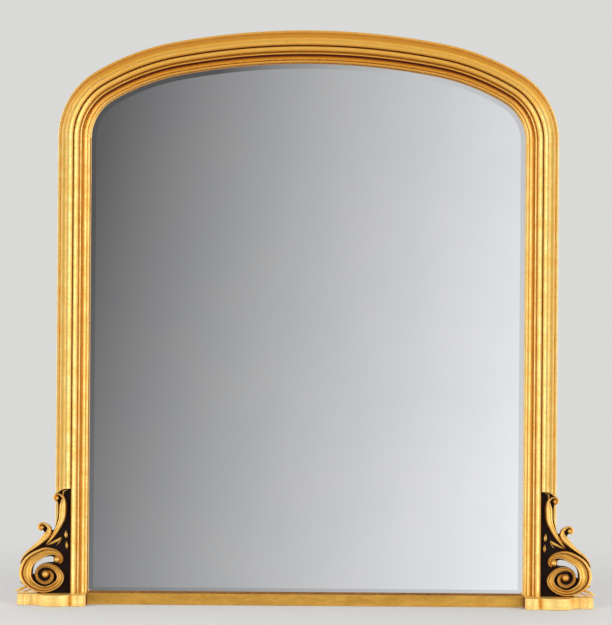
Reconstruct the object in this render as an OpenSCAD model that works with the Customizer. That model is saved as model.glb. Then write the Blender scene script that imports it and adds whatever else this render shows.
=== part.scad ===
// Overmantel mirror with a five-centred arched frame, a stepped plinth and
// carved scroll brackets. Millimetres, +Z up, front towards -Y.
// Origin: middle of the plinth's underside.

/* [Overall] */
// Height from the underside of the plinth to the top of the crown
overall_h = 1270; // [1220:5:1400]
// Width over the outer edges of the two stiles
frame_w = 1104; // [1060:2:1160]
// Width over the ends of the plinth
plinth_w = 1270; // [1250:2:1330]

/* [Arch] */
// Outer radius of the crown arc
crown_r = 1588; // [1450:1:1800]
// Outer radius of each haunch arc
haunch_r = 532; // [500:1:570]
// Outer radius of each shoulder arc
shoulder_r = 170; // [150:1:190]
// Half of the angle that the crown arc spans, in degrees
crown_half = 10.7; // [9:0.1:12]

/* [Moulding] */
// Width across the face of the moulding
face_w = 70; // [66:0.5:76]
// Depth of the moulding from its back to the crest of the torus
mould_d = 54; // [50:0.5:60]
// Width of the outer fillet
fillet_w = 5.5; // [4:0.5:7]
// Depth of the moulding at the outer fillet
fillet_d = 40; // [38:0.5:44]
// Width of the broad torus
torus_w = 26.5; // [24:0.5:28]
// Width of each quirk between two members
quirk_w = 2; // [1.5:0.1:2.5]
// Depth of the moulding at the foot of the torus
quirk_d = 36; // [34.5:0.5:39]
// Width of the ovolo next to the torus
ovolo_w = 10; // [8.5:0.5:11]
// Depth of the moulding at the crest of the ovolo
ovolo_d = 46; // [44.5:0.5:48]
// Width of each small bead
bead_w = 3.6; // [3:0.2:4.4]
// Depth of the moulding at the crest of the middle bead
bead_d = 37; // [35.5:0.5:39]
// Width of the deep quirk before the cove
deep_w = 4; // [3:0.5:5]
// Depth of the moulding on its low flats
floor_d = 24; // [22:0.5:26]
// Depth of the moulding at the crest of the bead next to the glass
sight_bead_d = 27; // [26.5:0.2:29]
// Width of the flat sight edge
sight_w = 2; // [1.5:0.1:2.5]

/* [Rebate and glass] */
// Width of the rebate that holds the glass
rebate_w = 8; // [7:0.5:9]
// Thickness of the mirror glass
glass_t = 6; // [5:0.5:6.5]
// Thickness left at the edge of the bevelled glass
glass_edge_t = 3; // [2:0.1:4]
// Width of the bevel round the glass
bevel_w = 19; // [16:1:25]
// Room between the edge of the glass and the rebate
glass_clear = 1.5; // [1:0.1:2]
// Thickness of the cushioning sheet behind the glass
sheet_t = 8; // [6:0.5:9]
// Thickness of the back board
board_t = 4; // [3:0.5:4.5]
// Length of each setting pad under the glass
pad_len = 100; // [60:5:150]
// Room round the back board and the sheet
board_clear = 0.5; // [0.4:0.1:1]

/* [Plinth] */
// Height of the plinth
plinth_h = 25; // [23:0.5:30]
// Depth of the plinth from its back to the front of the swells
plinth_d = 88; // [84:1:96]
// Depth of the plinth rail between the blocks
rail_d = 34; // [30:1:44]
// Distance from the plinth's back to the frame's back
stand_off = 6; // [5.8:0.1:8]
// Depth of the groove in the plinth that holds the glass
groove_depth = 10; // [9.5:0.5:12]
// Diameter of the bump under the beads of the stile
bump_dia = 34; // [30:1:37]
// How far the bump stays behind the front of the swell
bump_back = 4; // [1:0.5:6]
// Radius of the long swell of a plinth block
swell_r = 42; // [38:1:55]
// Distance from the block's inner end to the crest of the swell
swell_at = 68; // [62:1:72]
// Depth of a block in the hollow beyond its swell
block_d = 54; // [50:0.5:60]
// Radius of the hollow between the swell and the lobe
hollow_r = 17; // [12:1:20]
// Diameter of the lobe at the end of the plinth
lobe_dia = 27; // [24:0.2:29]
// Depth of the plinth at the lobe
lobe_d = 60; // [57:0.5:66]

/* [Brackets] */
// Height of a carved bracket above the plinth
bracket_h = 232; // [220:1:244]
// Thickness of the ground board of a bracket
ground_t = 12; // [10:0.5:14]
// Distance from the frame's back to the back of the ground board
ground_back = 20; // [18:0.5:22]
// Relief of the carving where its band is widest
relief_h = 16; // [12:0.5:20]
// Least relief of the carving, at its thin tips
tip_h = 4; // [3:0.5:6]
// Width of a carved band at which its relief is full
full_relief_w = 20; // [16:1:28]

/* [Joinery] */
// Diameter of the dowels across the joints of the frame
dowel_dia = 8; // [6:0.5:9]
// Length of a dowel
dowel_len = 40; // [30:1:50]
// Distance from the outer edge to the first dowel of a joint
dowel_u1 = 18; // [16:1:20]
// Distance from the outer edge to the second dowel of a joint
dowel_u2 = 44; // [38:1:48]
// Distance from the frame's back to the axis of the dowels
dowel_v = 13; // [11:0.5:15]
// Diameter of the dowels between the plinth rail and its blocks
rail_dowel_dia = 7; // [6:0.5:8]
// Height of the rail dowels above the underside
rail_dowel_z = 8; // [6:0.5:9]
// Shank diameter of the stile screws
stile_screw_dia = 5; // [4:0.5:6]
// Length of a stile screw
stile_screw_len = 70; // [55:1:80]
// Distance from the frame's back to the axis of the stile screws
stile_screw_v = 11; // [9:0.5:14]
// Shank diameter of the bracket screws
bracket_screw_dia = 4; // [3:0.5:5]
// Length of a bracket screw
bracket_screw_len = 28; // [26:0.5:29]
// Distance from the outer edge to the bracket screws
bracket_screw_u = 27; // [25:0.5:29]

/* [Back fittings] */
// Length of a turn button
button_len = 38; // [34:1:42]
// Width of a turn button
button_w = 12; // [10:1:14]
// Thickness of a turn button
button_t = 1.5; // [1:0.1:2]
// Gap between a turn button and the frame's back
button_gap = 0.1; // [0.05:0.01:0.15]
// Distance from the outer edge of the frame to a button's pivot
button_u = 48; // [46:1:52]
// Height of the lower turn buttons on the stiles
button_low_z = 330; // [300:5:400]
// Height of the upper turn buttons on the stiles
button_high_z = 760; // [700:5:800]
// Shank diameter of the small screws on the back
small_screw_dia = 3.8; // [3:0.1:4.2]
// Length of a small screw below its head
small_screw_len = 17; // [12:1:19]
// Diameter of the head of a small screw
small_head_dia = 7.6; // [6.5:0.1:8.5]
// Height of the head of a small screw
small_head_h = 2; // [1.5:0.1:2.2]
// Distance from the top of a stile down to the hanger rings' axis
hanger_drop = 100; // [60:5:150]
// Distance from the outer edge of the frame to the middle of a hanger
hanger_u = 22; // [18:1:26]
// Length of a hanger strap below the ring's axis
strap_len = 52; // [48:1:60]
// Width of a hanger strap
strap_w = 14; // [12:0.5:18]
// Thickness of a hanger strap
strap_t = 1; // [0.8:0.1:1.1]
// Diameter of the wire of a hanger ring
wire_dia = 3; // [2.5:0.1:3.2]
// Radius of a hanger ring at the middle of its wire
ring_r = 13; // [11:0.5:15]
// Wall of the barrel that the strap wraps round the ring
barrel_wall = 1.1; // [0.8:0.1:1.2]
// How far the barrel's ends stay inside the strap's edges
barrel_inset = 1; // [0.5:0.1:2]
// Distance from the ring's axis down to the upper screw of a strap
strap_screw_drop = 28; // [22:1:30]

/* [Hidden] */
section_fn = 64;        // facets round small circles in a preview
arc_fn = 720;           // facets round the long arcs of the frame
arc_steps = 8;          // steps along one arc of a drawn outline
$fn = section_fn;

gilt = "goldenrod";
dark_gilt = "saddlebrown";
steel = "lightgray";
brassy = "darkkhaki";

fit = 0.05;             // running clearance of dowels, screws and pins, per side
seat = 0.3;             // room between pieces that only lie close
through = 1;            // overshoot of a cut past a face
half_w = frame_w / 2;
plinth_back_y = plinth_d / 2;
frame_back_y = plinth_back_y - stand_off;
block_in_x = half_w - face_w;

// Arch centres as [x, z], and the angle from upright where the shoulders start.
crown_c = [0, overall_h - crown_r];
haunch_c = crown_c + (crown_r - haunch_r) * [sin(crown_half), cos(crown_half)];
haunch_end = asin((half_w - shoulder_r - haunch_c.x) / (haunch_r - shoulder_r));
shoulder_c = haunch_c + (haunch_r - shoulder_r) * [sin(haunch_end), cos(haunch_end)];
spring_z = shoulder_c.y;
hanger_z = spring_z - hanger_drop;

// Places across the moulding, measured inwards from its outer edge.
torus_u = fillet_w + quirk_w;
ovolo_u = torus_u + torus_w + quirk_w;
bead_u = ovolo_u + ovolo_w + quirk_w;
cove_u = bead_u + bead_w + deep_w;
sight_bead_u = face_w - sight_w - bead_w;
cove_w = sight_bead_u - quirk_w / 2 - cove_u;
undercut = 0.2;         // keeps flat sides clear of the round they meet

// The stack in the rebate, measured forwards from the frame's back.
sheet_v = board_t;
glass_v = board_t + sheet_t;
lap = rebate_w - glass_clear;
lip_v = glass_v + glass_edge_t + (glass_t - glass_edge_t) * lap / bevel_w;
groove_z = plinth_h - groove_depth;

button_arm = 8;         // from a button's pivot to its short end
sight_u = face_w - rebate_w;
slot_w = 1;             // crossed slot in the head of a small screw
slot_h = 0.8;

// Places of the turn buttons: arc centre x and z, arc radius, angle from upright.
// The first four stand on the stiles, two on the haunches and two on the crown.
button_spots = [
    [0, button_low_z, half_w, -90], [0, button_low_z, half_w, 90],
    [0, button_high_z, half_w, -90], [0, button_high_z, half_w, 90],
    [-haunch_c.x, haunch_c.y, haunch_r, -(crown_half + haunch_end) / 2],
    [haunch_c.x, haunch_c.y, haunch_r, (crown_half + haunch_end) / 2],
    [0, crown_c.y, crown_r, -crown_half / 2],
    [0, crown_c.y, crown_r, crown_half / 2]
];
right_stile_buttons = [1, 3];
right_haunch_buttons = [5];
crown_buttons = [6, 7];
all_buttons = [0 : len(button_spots) - 1];

// Joints of the right half: arc centre, arc radius, angle from upright.
joint_spots = [
    [crown_c, crown_r, crown_half],
    [haunch_c, haunch_r, haunch_end],
    [shoulder_c, shoulder_r, 90]
];

// Carved bracket, drawn 232 high. x runs outwards from the stile's outer edge
// and z upwards from the plinth. A band's rows are [x, z, width].
drawn_h = 232;
bracket_scale = bracket_h / drawn_h;
ground_in = ovolo_u - quirk_w;
scroll_band = [
    [18.5, 46.5, 5], [12.5, 46.6, 6.5], [7.8, 42.8, 7.2], [6.6, 35.5, 7.8], [11.5, 27, 7.8],
    [23.5, 22.8, 7], [36.5, 29.5, 6.2], [41.6, 41, 6.2], [37.5, 53.5, 6.6], [22, 61.2, 8.4],
    [0, 55.5, 12], [-12.4, 36.8, 16.5], [-2.8, 18.5, 15.5], [24.1, 8.2, 14],
    [52.6, 19, 20], [65.8, 42.3, 28], [56, 71, 25], [26, 89.8, 22], [8, 92.3, 16],
    [-4, 88, 11], [-10, 81, 7]
];
tall_stem = [
    [-4, 205.6, 3.5], [1.2, 206.4, 5], [3.8, 211.2, 5.8], [1, 216.6, 5], [-5.3, 218.6, 4.4],
    [-12, 216.2, 5.4], [-17, 210.5, 8], [-17.6, 203, 13], [-16.6, 190.9, 17.5],
    [-15.3, 168.3, 16.5], [-9.1, 151.3, 13.5], [-0.4, 134.5, 10.2], [10.2, 119.6, 6.5],
    [20.8, 106.5, 1.2]
];
short_stem = [
    [29, 139.8, 4], [34.5, 140.3, 5.5], [36.8, 146, 6.2], [34.6, 151.5, 5.4],
    [28.5, 154, 4.8], [20.5, 150.8, 6.4], [14, 144.5, 9], [14, 136, 12.5],
    [20, 126.5, 15], [33.5, 111.8, 11.5], [49, 99.5, 8], [63, 88.6, 6],
    [72, 77.5, 4.2], [77.5, 65, 1]
];
upper_sprig = [[18.5, 105.5, 1], [11, 109, 4.5], [4, 112.7, 6], [-4, 117, 6.5],
    [-10.5, 121.5, 4], [-14, 123, 0.6]];
upper_hook = [[-13.5, 121, 0.6], [-11, 116, 2.4], [-8, 111.5, 2.6], [-3, 105, 0.6]];
top_curl = [[-17, 212, 1.5], [-16.5, 222, 3.5], [-19.5, 226.5, 3.5], [-26, 227.5, 0.8]];
foot_leaf = [[58, 15, 4], [68, 11.5, 6], [76, 8.6, 7], [84, 4.6, 4], [90, 1.5, 0.6]];
foot_leaflet = [[61, 17, 3], [68, 19, 4], [73, 21.5, 3.6], [78, 23.5, 0.6]];
foot_under = [[53, 8, 2], [62, 5.2, 3], [68, 3, 3], [72, 1.8, 0.6]];
upper_husk = [[-23, 120.5, 1], [-23.6, 125, 5], [-23.2, 131, 6], [-22.4, 139, 0.8]];
lower_husk = [[-25.4, 97.5, 1], [-25.8, 102, 4.6], [-25.2, 107, 5.4],
    [-24.4, 115, 0.8]];
foot_leaves = [foot_leaf, foot_leaflet, foot_under];
leafage = [tall_stem, short_stem, upper_sprig, upper_hook, top_curl, upper_husk,
    lower_husk];
// Round ends of the scroll and of the stems: [x, z, radius].
scroll_knobs = [[21.5, 42.3, 9], [-6, 76, 12.5]];
stem_knobs = [[-3, 210, 4.8], [29.6, 145, 5]];

ground_curve = [
    [-6, 172], [-4.2, 162], [-1.8, 153.5], [5, 138.5], [12, 141], [15, 148], [24, 151.5],
    [34, 150], [38.5, 145], [36.5, 140.5], [30, 139.5], [25, 133], [29, 121], [42, 108],
    [56, 96],
    [68, 85], [75.5, 70], [77, 48], [74, 32], [64, 17], [50, 8], [40, 3]
];
ground_top = [
    [-20, 231.5], [-9.5, 226], [-5, 221.8], [0, 220.4], [3, 218], [5.8, 214.5],
    [6.5, 210.5], [4.4, 205.8], [0, 203.2], [-4, 202.8], [-6, 194]
];
pierced = [
    [50.5, 40], [48.5, 58], [39, 70.5], [26.5, 77.5], [10, 81], [1.5, 76],
    [4, 68.5], [20, 66.5], [32, 62.5], [41.5, 54.5], [45, 43]
];
curve_steps = 4;
least_band_w = 0.5;

// Outline across a scroll's band, as [across the width, up the relief].
band_section = [
    [-0.5, 0], [-0.5, 0.5], [-0.42, 0.72], [-0.3, 0.74], [-0.12, 0.5],
    [0.1, 0.42], [0.22, 0.5], [0.28, 0.86], [0.36, 1], [0.45, 0.93],
    [0.5, 0.65], [0.5, 0]
];
leaf_section = [[-0.5, 0], [-0.42, 0.5], [-0.2, 0.88], [0.1, 1], [0.35, 0.75],
    [0.5, 0.35], [0.5, 0]];

// A smooth curve through rows of numbers.
function blend(a, b, c, d, t) =
    (2 * b + (c - a) * t + (2 * a - 5 * b + 4 * c - d) * t * t
    + (3 * b - a - 3 * c + d) * t * t * t) / 2;
function smooth(rows, steps) = [
    for (i = [0 : len(rows) - 2], k = [0 : steps - 1])
        blend(rows[max(i - 1, 0)], rows[i], rows[i + 1],
            rows[min(i + 2, len(rows) - 1)], k / steps),
    rows[len(rows) - 1]
];
function unit(v) = v / norm(v);
function heading(rows, i) =
    unit([for (k = [0, 1]) rows[min(i + 1, len(rows) - 1)][k] - rows[max(i - 1, 0)][k]]);
function relief(width) =
    min(relief_h, tip_h + (relief_h - tip_h) * width / full_relief_w);
function sized(rows) = bracket_scale * rows;

// Points along one arc about c, from angle a0 to a1 from upright.
function arc(c, r, a0, a1, n) = [
    for (i = [0 : n]) let (a = a0 + (a1 - a0) * i / n) [c.x + r * sin(a), c.y + r * cos(a)]
];
function flip(points) = [for (p = points) [-p.x, p.y]];
function backwards(points) = [for (i = [len(points) - 1 : -1 : 0]) points[i]];
// Half of the arch, from the crown to the foot, moved inwards from the outer edge.
function half_arch(inset, bottom) = concat(
    arc(crown_c, crown_r - inset, 0, crown_half, arc_steps / 2),
    arc(haunch_c, haunch_r - inset, crown_half, haunch_end, arc_steps),
    arc(shoulder_c, shoulder_r - inset, haunch_end, 90, 2 * arc_steps),
    [[half_w - inset, bottom]]
);
function arch(inset, bottom) =
    concat(half_arch(inset, bottom), backwards(flip(half_arch(inset, bottom))));

// Turns a drawing in x and z into a plate that grows forwards from depth v.
module forwards(v, thick) {
    translate([0, frame_back_y - v, 0])
        rotate([90, 0, 0])
            linear_extrude(thick)
                children();
}

module both_sides() {
    children();
    mirror([1, 0, 0]) children();
}

// A member of the moulding that rises from depth 0 to a rounded crest.
module rounded_member(u, width, depth) {
    translate([u + undercut, 0]) square([width - 2 * undercut, depth - width / 2]);
    translate([u + width / 2, depth - width / 2]) circle(d = width);
}

module moulding_section() {
    difference() {
        union() {
            square([face_w, sight_bead_d - bead_w]);
            square([cove_u, floor_d]);
            square([ovolo_u + through, quirk_d]);
            square([fillet_w, fillet_d]);
            rounded_member(torus_u, torus_w, mould_d);
            translate([ovolo_u, 0]) square([ovolo_w, ovolo_d - ovolo_w]);
            intersection() {
                translate([ovolo_u, ovolo_d - ovolo_w]) circle(r = ovolo_w);
                translate([ovolo_u, ovolo_d - ovolo_w - through])
                    square(ovolo_w + through);
            }
            rounded_member(bead_u, bead_w, bead_d);
            cove_section();
            rounded_member(sight_bead_u, bead_w, sight_bead_d);
        }
        translate([sight_u, -through]) square([rebate_w + through, lip_v + through]);
    }
}

module cove_section() {
    difference() {
        translate([cove_u, 0]) square([cove_w, floor_d + cove_w]);
        translate([cove_u + cove_w, floor_d + cove_w]) circle(r = cove_w);
    }
}

// An arc member of the frame about c, from angle a0 to a1 from upright.
module arc_member(c, r, a0, a1) {
    translate([c.x, frame_back_y, c.y])
        rotate([90, 0, 0])
            rotate([0, 0, 90 - a1])
                rotate_extrude(angle = a1 - a0, $fn = arc_fn)
                    translate([r, 0])
                        mirror([1, 0, 0])
                            moulding_section($fn = section_fn);
}

// Puts its children on the frame's back: local z points outwards, y to the wall.
module on_arc(c, r, a, u) {
    translate([c.x, frame_back_y, c.y])
        rotate([0, a, 0])
            translate([0, 0, r - u])
                children();
}

module joint_dowels(dia, len) {
    for (spot = joint_spots, u = [dowel_u1, dowel_u2])
        on_arc(spot[0], spot[1], spot[2], u)
            translate([0, -dowel_v, 0])
                rotate([0, 90, 0])
                    cylinder(d = dia, h = len, center = true);
}

module dowel_holes() {
    joint_dowels(dowel_dia + 2 * fit, dowel_len + 2 * through);
}

module frame_dowels() {
    color("burlywood") both_sides() joint_dowels(dowel_dia, dowel_len);
}

// Puts its children at the pivots of the picked turn buttons.
module at_buttons(picked) {
    for (i = picked)
        let (s = button_spots[i])
            on_arc([s[0], s[1]], s[2], s[3], button_u)
                children();
}

module small_hole() {
    rotate([90, 0, 0])
        translate([0, 0, -through])
            cylinder(d = small_screw_dia + 2 * fit, h = small_screw_len + 2 * through);
}

// A pan-head screw that points forwards, with a crossed slot in its head.
module small_screw() {
    rotate([90, 0, 0]) cylinder(d = small_screw_dia, h = small_screw_len);
    difference() {
        rotate([-90, 0, 0]) cylinder(d = small_head_dia, h = small_head_h);
        for (turn = [0, 90])
            rotate([0, turn, 0])
                translate([-small_head_dia / 4, small_head_h - slot_h, -slot_w / 2])
                    cube([small_head_dia / 2, slot_h + through, slot_w]);
    }
}

module stile() {
    difference() {
        translate([half_w, frame_back_y, plinth_h])
            rotate([0, 0, 180])
                linear_extrude(spring_z - plinth_h)
                    moulding_section();
        dowel_holes();
        stile_screw_places() cylinder(d = stile_screw_dia + 2 * fit, h = stile_screw_len);
        bracket_frame() forwards(ground_back, mould_d) ground_outline();
        bracket_screw_places() countersunk(bracket_screw_dia + 2 * fit, bracket_screw_len);
        at_buttons(right_stile_buttons) small_hole();
        strap_screw_places() small_hole();
    }
}

module shoulder() {
    difference() {
        arc_member(shoulder_c, shoulder_r, haunch_end, 90);
        dowel_holes();
    }
}

module haunch() {
    difference() {
        arc_member(haunch_c, haunch_r, crown_half, haunch_end);
        dowel_holes();
        at_buttons(right_haunch_buttons) small_hole();
    }
}

module crown() {
    color(gilt)
        difference() {
            arc_member(crown_c, crown_r, -crown_half, crown_half);
            both_sides() dowel_holes();
            at_buttons(crown_buttons) small_hole();
        }
}

// Plinth: the groove runs through the rail and a little way into both blocks.
module glass_groove() {
    translate([-(half_w - sight_u), frame_back_y - lip_v, groove_z])
        cube([2 * (half_w - sight_u), lip_v + board_clear, groove_depth + through]);
}

module plinth_rail() {
    color(gilt)
        difference() {
            translate([-block_in_x, plinth_back_y - rail_d, 0])
                cube([2 * block_in_x, rail_d, plinth_h]);
            glass_groove();
            both_sides() rail_dowels(rail_dowel_dia + 2 * fit, dowel_len + 2 * through);
        }
}

module rail_dowels(dia, len) {
    for (y = [plinth_back_y - rail_d / 4, plinth_back_y - rail_d * 3 / 4])
        translate([block_in_x, y, rail_dowel_z])
            rotate([0, 90, 0])
                cylinder(d = dia, h = len, center = true);
}

// The hollow that carries the long swell over into the flat next to the lobe.
function hollow_line() =
    let (
        swell_c = [block_in_x + swell_at, swell_r - plinth_back_y],
        flat_y = plinth_back_y - block_d,
        drop = swell_c.y - flat_y + hollow_r,
        reach = swell_r + hollow_r,
        start = asin(drop / reach),
        hollow_c = swell_c + reach * [cos(start), -sin(start)]
    ) concat(
        [[swell_c.x, flat_y + through], [swell_c.x, swell_c.y - swell_r * sin(start)]],
        [for (i = [0 : arc_steps]) let (a = start + (90 - start) * i / arc_steps)
            hollow_c + hollow_r * [-cos(a), sin(a)]],
        [[hollow_c.x, flat_y + through]]
    );

// Plan of the right plinth block, x to the right and y towards the wall.
module block_plan() {
    end_x = plinth_w / 2;
    lobe_r = lobe_dia / 2;
    bump_r = bump_dia / 2;
    translate([block_in_x, plinth_back_y - block_d])
        square([end_x - lobe_dia - block_in_x, block_d]);
    translate([end_x - lobe_dia - through, plinth_back_y - lobe_d + lobe_r])
        square([lobe_dia + through - undercut, lobe_d - lobe_r]);
    translate([end_x - lobe_r, plinth_back_y - lobe_d + lobe_r]) circle(r = lobe_r);
    intersection() {
        translate([block_in_x + swell_at, swell_r - plinth_back_y]) circle(r = swell_r);
        translate([block_in_x, -plinth_back_y]) square([plinth_w, plinth_d - block_d + through]);
    }
    polygon(hollow_line());
    translate([block_in_x + bump_r, bump_r + bump_back - plinth_back_y])
        circle(r = bump_r);
    translate([block_in_x + undercut, bump_r + bump_back - plinth_back_y])
        square([bump_dia - 2 * undercut, bump_dia]);
}

module plinth_block() {
    difference() {
        linear_extrude(plinth_h)
            intersection() {
                block_plan();
                translate([block_in_x, -plinth_back_y])
                    square([plinth_w, plinth_d]);
            }
        glass_groove();
        rail_dowels(rail_dowel_dia + 2 * fit, dowel_len + 2 * through);
        stile_screw_places()
            countersunk_up(stile_screw_dia + 2 * fit, stile_screw_len);
    }
}

module plinth_dowels() {
    color("burlywood") both_sides() rail_dowels(rail_dowel_dia, dowel_len);
}

// Screws: a countersunk screw is twice its shank's width at its head.
module countersunk_up(dia, len) {
    cylinder(d = dia, h = len);
    cylinder(d1 = 2 * dia, d2 = dia, h = dia / 2);
}

module countersunk(dia, len) {
    rotate([90, 0, 0]) countersunk_up(dia, len);
}

module stile_screw_places() {
    for (u = [dowel_u1, dowel_u2])
        translate([half_w - u, frame_back_y - stile_screw_v, 0])
            children();
}

module bracket_screw_places() {
    for (z = [bracket_h / 5, bracket_h * 3 / 5])
        translate([half_w - bracket_screw_u, frame_back_y, plinth_h + z])
            children();
}

module stile_screws() {
    color(steel)
        both_sides() stile_screw_places() countersunk_up(stile_screw_dia, stile_screw_len);
}

module bracket_screws() {
    color(steel)
        both_sides()
            bracket_screw_places() countersunk(bracket_screw_dia, bracket_screw_len);
}

// Brackets
module bracket_frame() {
    translate([half_w, 0, plinth_h]) children();
}

module ground_outline() {
    polygon(concat(
        [[-ground_in, 0], [-ground_in, bracket_h]],
        sized(smooth(ground_top, curve_steps)),
        sized(smooth(ground_curve, curve_steps)),
        [[bracket_scale * ground_curve[len(ground_curve) - 1].x, 0]]
    ));
}

module bracket_ground() {
    difference() {
        bracket_frame()
            forwards(ground_back, ground_t)
                difference() {
                    ground_outline();
                    polygon(sized(smooth(pierced, curve_steps)));
                }
        bracket_screw_places()
            countersunk(bracket_screw_dia + 2 * fit, bracket_screw_len + through / 2);
    }
}

// A carved band that follows rows of [x, z, width] with the given cross outline.
module band(rows, section) {
    path = sized(smooth(rows, curve_steps));
    rings = len(path);
    sides = len(section);
    points = [
        for (i = [0 : rings - 1], q = section)
            let (d = heading(path, i), w = max(path[i][2], least_band_w))
                [path[i].x + d.y * q.x * w, path[i].y - d.x * q.x * w, q.y * relief(w)]
    ];
    walls = [
        for (i = [0 : rings - 2], k = [0 : sides - 1])
            let (a = i * sides + k, b = i * sides + (k + 1) % sides)
                each [[b, a, b + sides], [b + sides, a, a + sides]]
    ];
    start_cap = [for (k = [0 : sides - 1]) k];
    end_cap = [for (k = [sides - 1 : -1 : 0]) (rings - 1) * sides + k];
    polyhedron(points, concat(walls, [start_cap, end_cap]), convexity = 10);
}

// A round knob of [x, z, radius], domed on top.
module knob(spot) {
    s = sized(spot);
    rise = relief(2 * s[2]) - s[2];
    translate([s[0], s[1], 0])
        rotate_extrude()
            intersection() {
                union() {
                    square([s[2], rise]);
                    translate([0, rise]) circle(r = s[2]);
                }
                square([s[2], rise + s[2]]);
            }
}

// Stands its children on the ground board, growing forwards.
module on_ground() {
    bracket_frame()
        translate([0, frame_back_y - ground_back - ground_t, 0])
            rotate([90, 0, 0])
                children();
}

module bracket_scroll() {
    on_ground() {
        band(scroll_band, band_section);
        for (rows = foot_leaves) band(rows, leaf_section);
        for (spot = scroll_knobs) knob(spot);
    }
}

module bracket_leafage() {
    on_ground() {
        for (rows = leafage) band(rows, leaf_section);
        for (spot = stem_knobs) knob(spot);
    }
}

// Glass and backing
module mirror_glass() {
    inset = face_w - lap;
    bottom = plinth_h - lap;
    color("lightsteelblue")
        hull() {
            forwards(glass_v, glass_edge_t) polygon(arch(inset, bottom));
            forwards(glass_v, glass_t) polygon(arch(inset + bevel_w, bottom + bevel_w));
        }
}

module setting_pads() {
    color("dimgray")
        both_sides()
            translate([block_in_x / 2 - pad_len / 2, frame_back_y - glass_v - glass_edge_t,
                groove_z])
                cube([pad_len, glass_edge_t, plinth_h - lap - groove_z]);
}

module cushion_sheet() {
    color("tan")
        forwards(sheet_v, sheet_t)
            polygon(arch(sight_u + board_clear, groove_z + seat));
}

module back_board() {
    color("peru")
        forwards(0, board_t)
            polygon(arch(sight_u + board_clear, groove_z + seat));
}

// Back fittings
module turn_button(number) {
    s = button_spots[number - 1];
    end_r = button_w / 2;
    reach = button_len - button_arm;
    color(brassy)
        on_arc([s[0], s[1]], s[2], s[3], button_u)
            translate([0, button_gap + button_t, 0])
                rotate([90, 0, 0])
                    linear_extrude(button_t)
                        difference() {
                            union() {
                                translate([-end_r + undercut / 2, end_r - reach])
                                    square([button_w - undercut,
                                        reach + button_arm - button_w]);
                                translate([0, button_arm - end_r]) circle(r = end_r);
                                translate([0, end_r - reach]) circle(r = end_r);
                            }
                            circle(d = small_screw_dia + 2 * fit);
                        }
}

module turn_button_screws() {
    color(steel)
        at_buttons(all_buttons)
            translate([0, button_gap + button_t + button_gap, 0])
                small_screw();
}

barrel_r = wire_dia / 2 + fit + barrel_wall;
ring_y = frame_back_y + barrel_r + fit;
barrel_len = strap_w - 2 * barrel_inset;
strap_screw_z = [hanger_z - strap_len + strap_w / 2, hanger_z - strap_screw_drop];

module strap_screw_places() {
    for (z = strap_screw_z)
        translate([half_w - hanger_u, frame_back_y, z])
            children();
}

module hanger_strap() {
    x = half_w - hanger_u;
    difference() {
        union() {
            translate([x - strap_w / 2, frame_back_y, hanger_z - strap_len])
                cube([strap_w, strap_t, strap_len]);
            translate([x - barrel_len / 2, ring_y, hanger_z])
                rotate([0, 90, 0])
                    cylinder(r = barrel_r, h = barrel_len);
        }
        translate([x - strap_w, ring_y, hanger_z])
            rotate([0, 90, 0])
                cylinder(d = wire_dia + 2 * fit, h = 2 * strap_w);
        strap_screw_places()
            rotate([90, 0, 0])
                cylinder(d = small_screw_dia + 2 * fit, h = 4 * strap_t, center = true);
    }
}

// A D-shaped ring that hangs down from its straight bar.
module hanger_ring() {
    translate([half_w - hanger_u, ring_y, hanger_z]) {
        rotate([0, 90, 0]) cylinder(d = wire_dia, h = 2 * ring_r, center = true);
        for (x = [-ring_r, ring_r]) translate([x, 0, 0]) sphere(d = wire_dia);
        rotate([-90, 0, 0])
            rotate_extrude(angle = 180)
                translate([ring_r, 0]) circle(d = wire_dia);
    }
}

module hanger_screws() {
    color(steel)
        both_sides()
            strap_screw_places()
                translate([0, strap_t, 0])
                    small_screw();
}

module right(finish) {
    color(finish) children();
}

module left(finish) {
    color(finish) mirror([1, 0, 0]) children();
}

left(gilt) stile();  // stile_left
right(gilt) stile();  // stile_right
left(gilt) shoulder();  // shoulder_left
right(gilt) shoulder();  // shoulder_right
left(gilt) haunch();  // haunch_left
right(gilt) haunch();  // haunch_right
crown();
frame_dowels();
plinth_rail();
left(gilt) plinth_block();  // plinth_block_left
right(gilt) plinth_block();  // plinth_block_right
plinth_dowels();
stile_screws();
left(dark_gilt) bracket_ground();  // bracket_ground_left
right(dark_gilt) bracket_ground();  // bracket_ground_right
left(gilt) bracket_scroll();  // bracket_scroll_left
right(gilt) bracket_scroll();  // bracket_scroll_right
left(gilt) bracket_leafage();  // bracket_leafage_left
right(gilt) bracket_leafage();  // bracket_leafage_right
bracket_screws();
mirror_glass();
setting_pads();
cushion_sheet();
back_board();
turn_button(1);  // turn_button_1
turn_button(2);  // turn_button_2
turn_button(3);  // turn_button_3
turn_button(4);  // turn_button_4
turn_button(5);  // turn_button_5
turn_button(6);  // turn_button_6
turn_button(7);  // turn_button_7
turn_button(8);  // turn_button_8
turn_button_screws();
left(brassy) hanger_strap();  // hanger_strap_left
right(brassy) hanger_strap();  // hanger_strap_right
left(steel) hanger_ring();  // hanger_ring_left
right(steel) hanger_ring();  // hanger_ring_right
hanger_screws();
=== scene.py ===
import math

import bmesh
import bpy
from mathutils import Matrix, Vector


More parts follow.
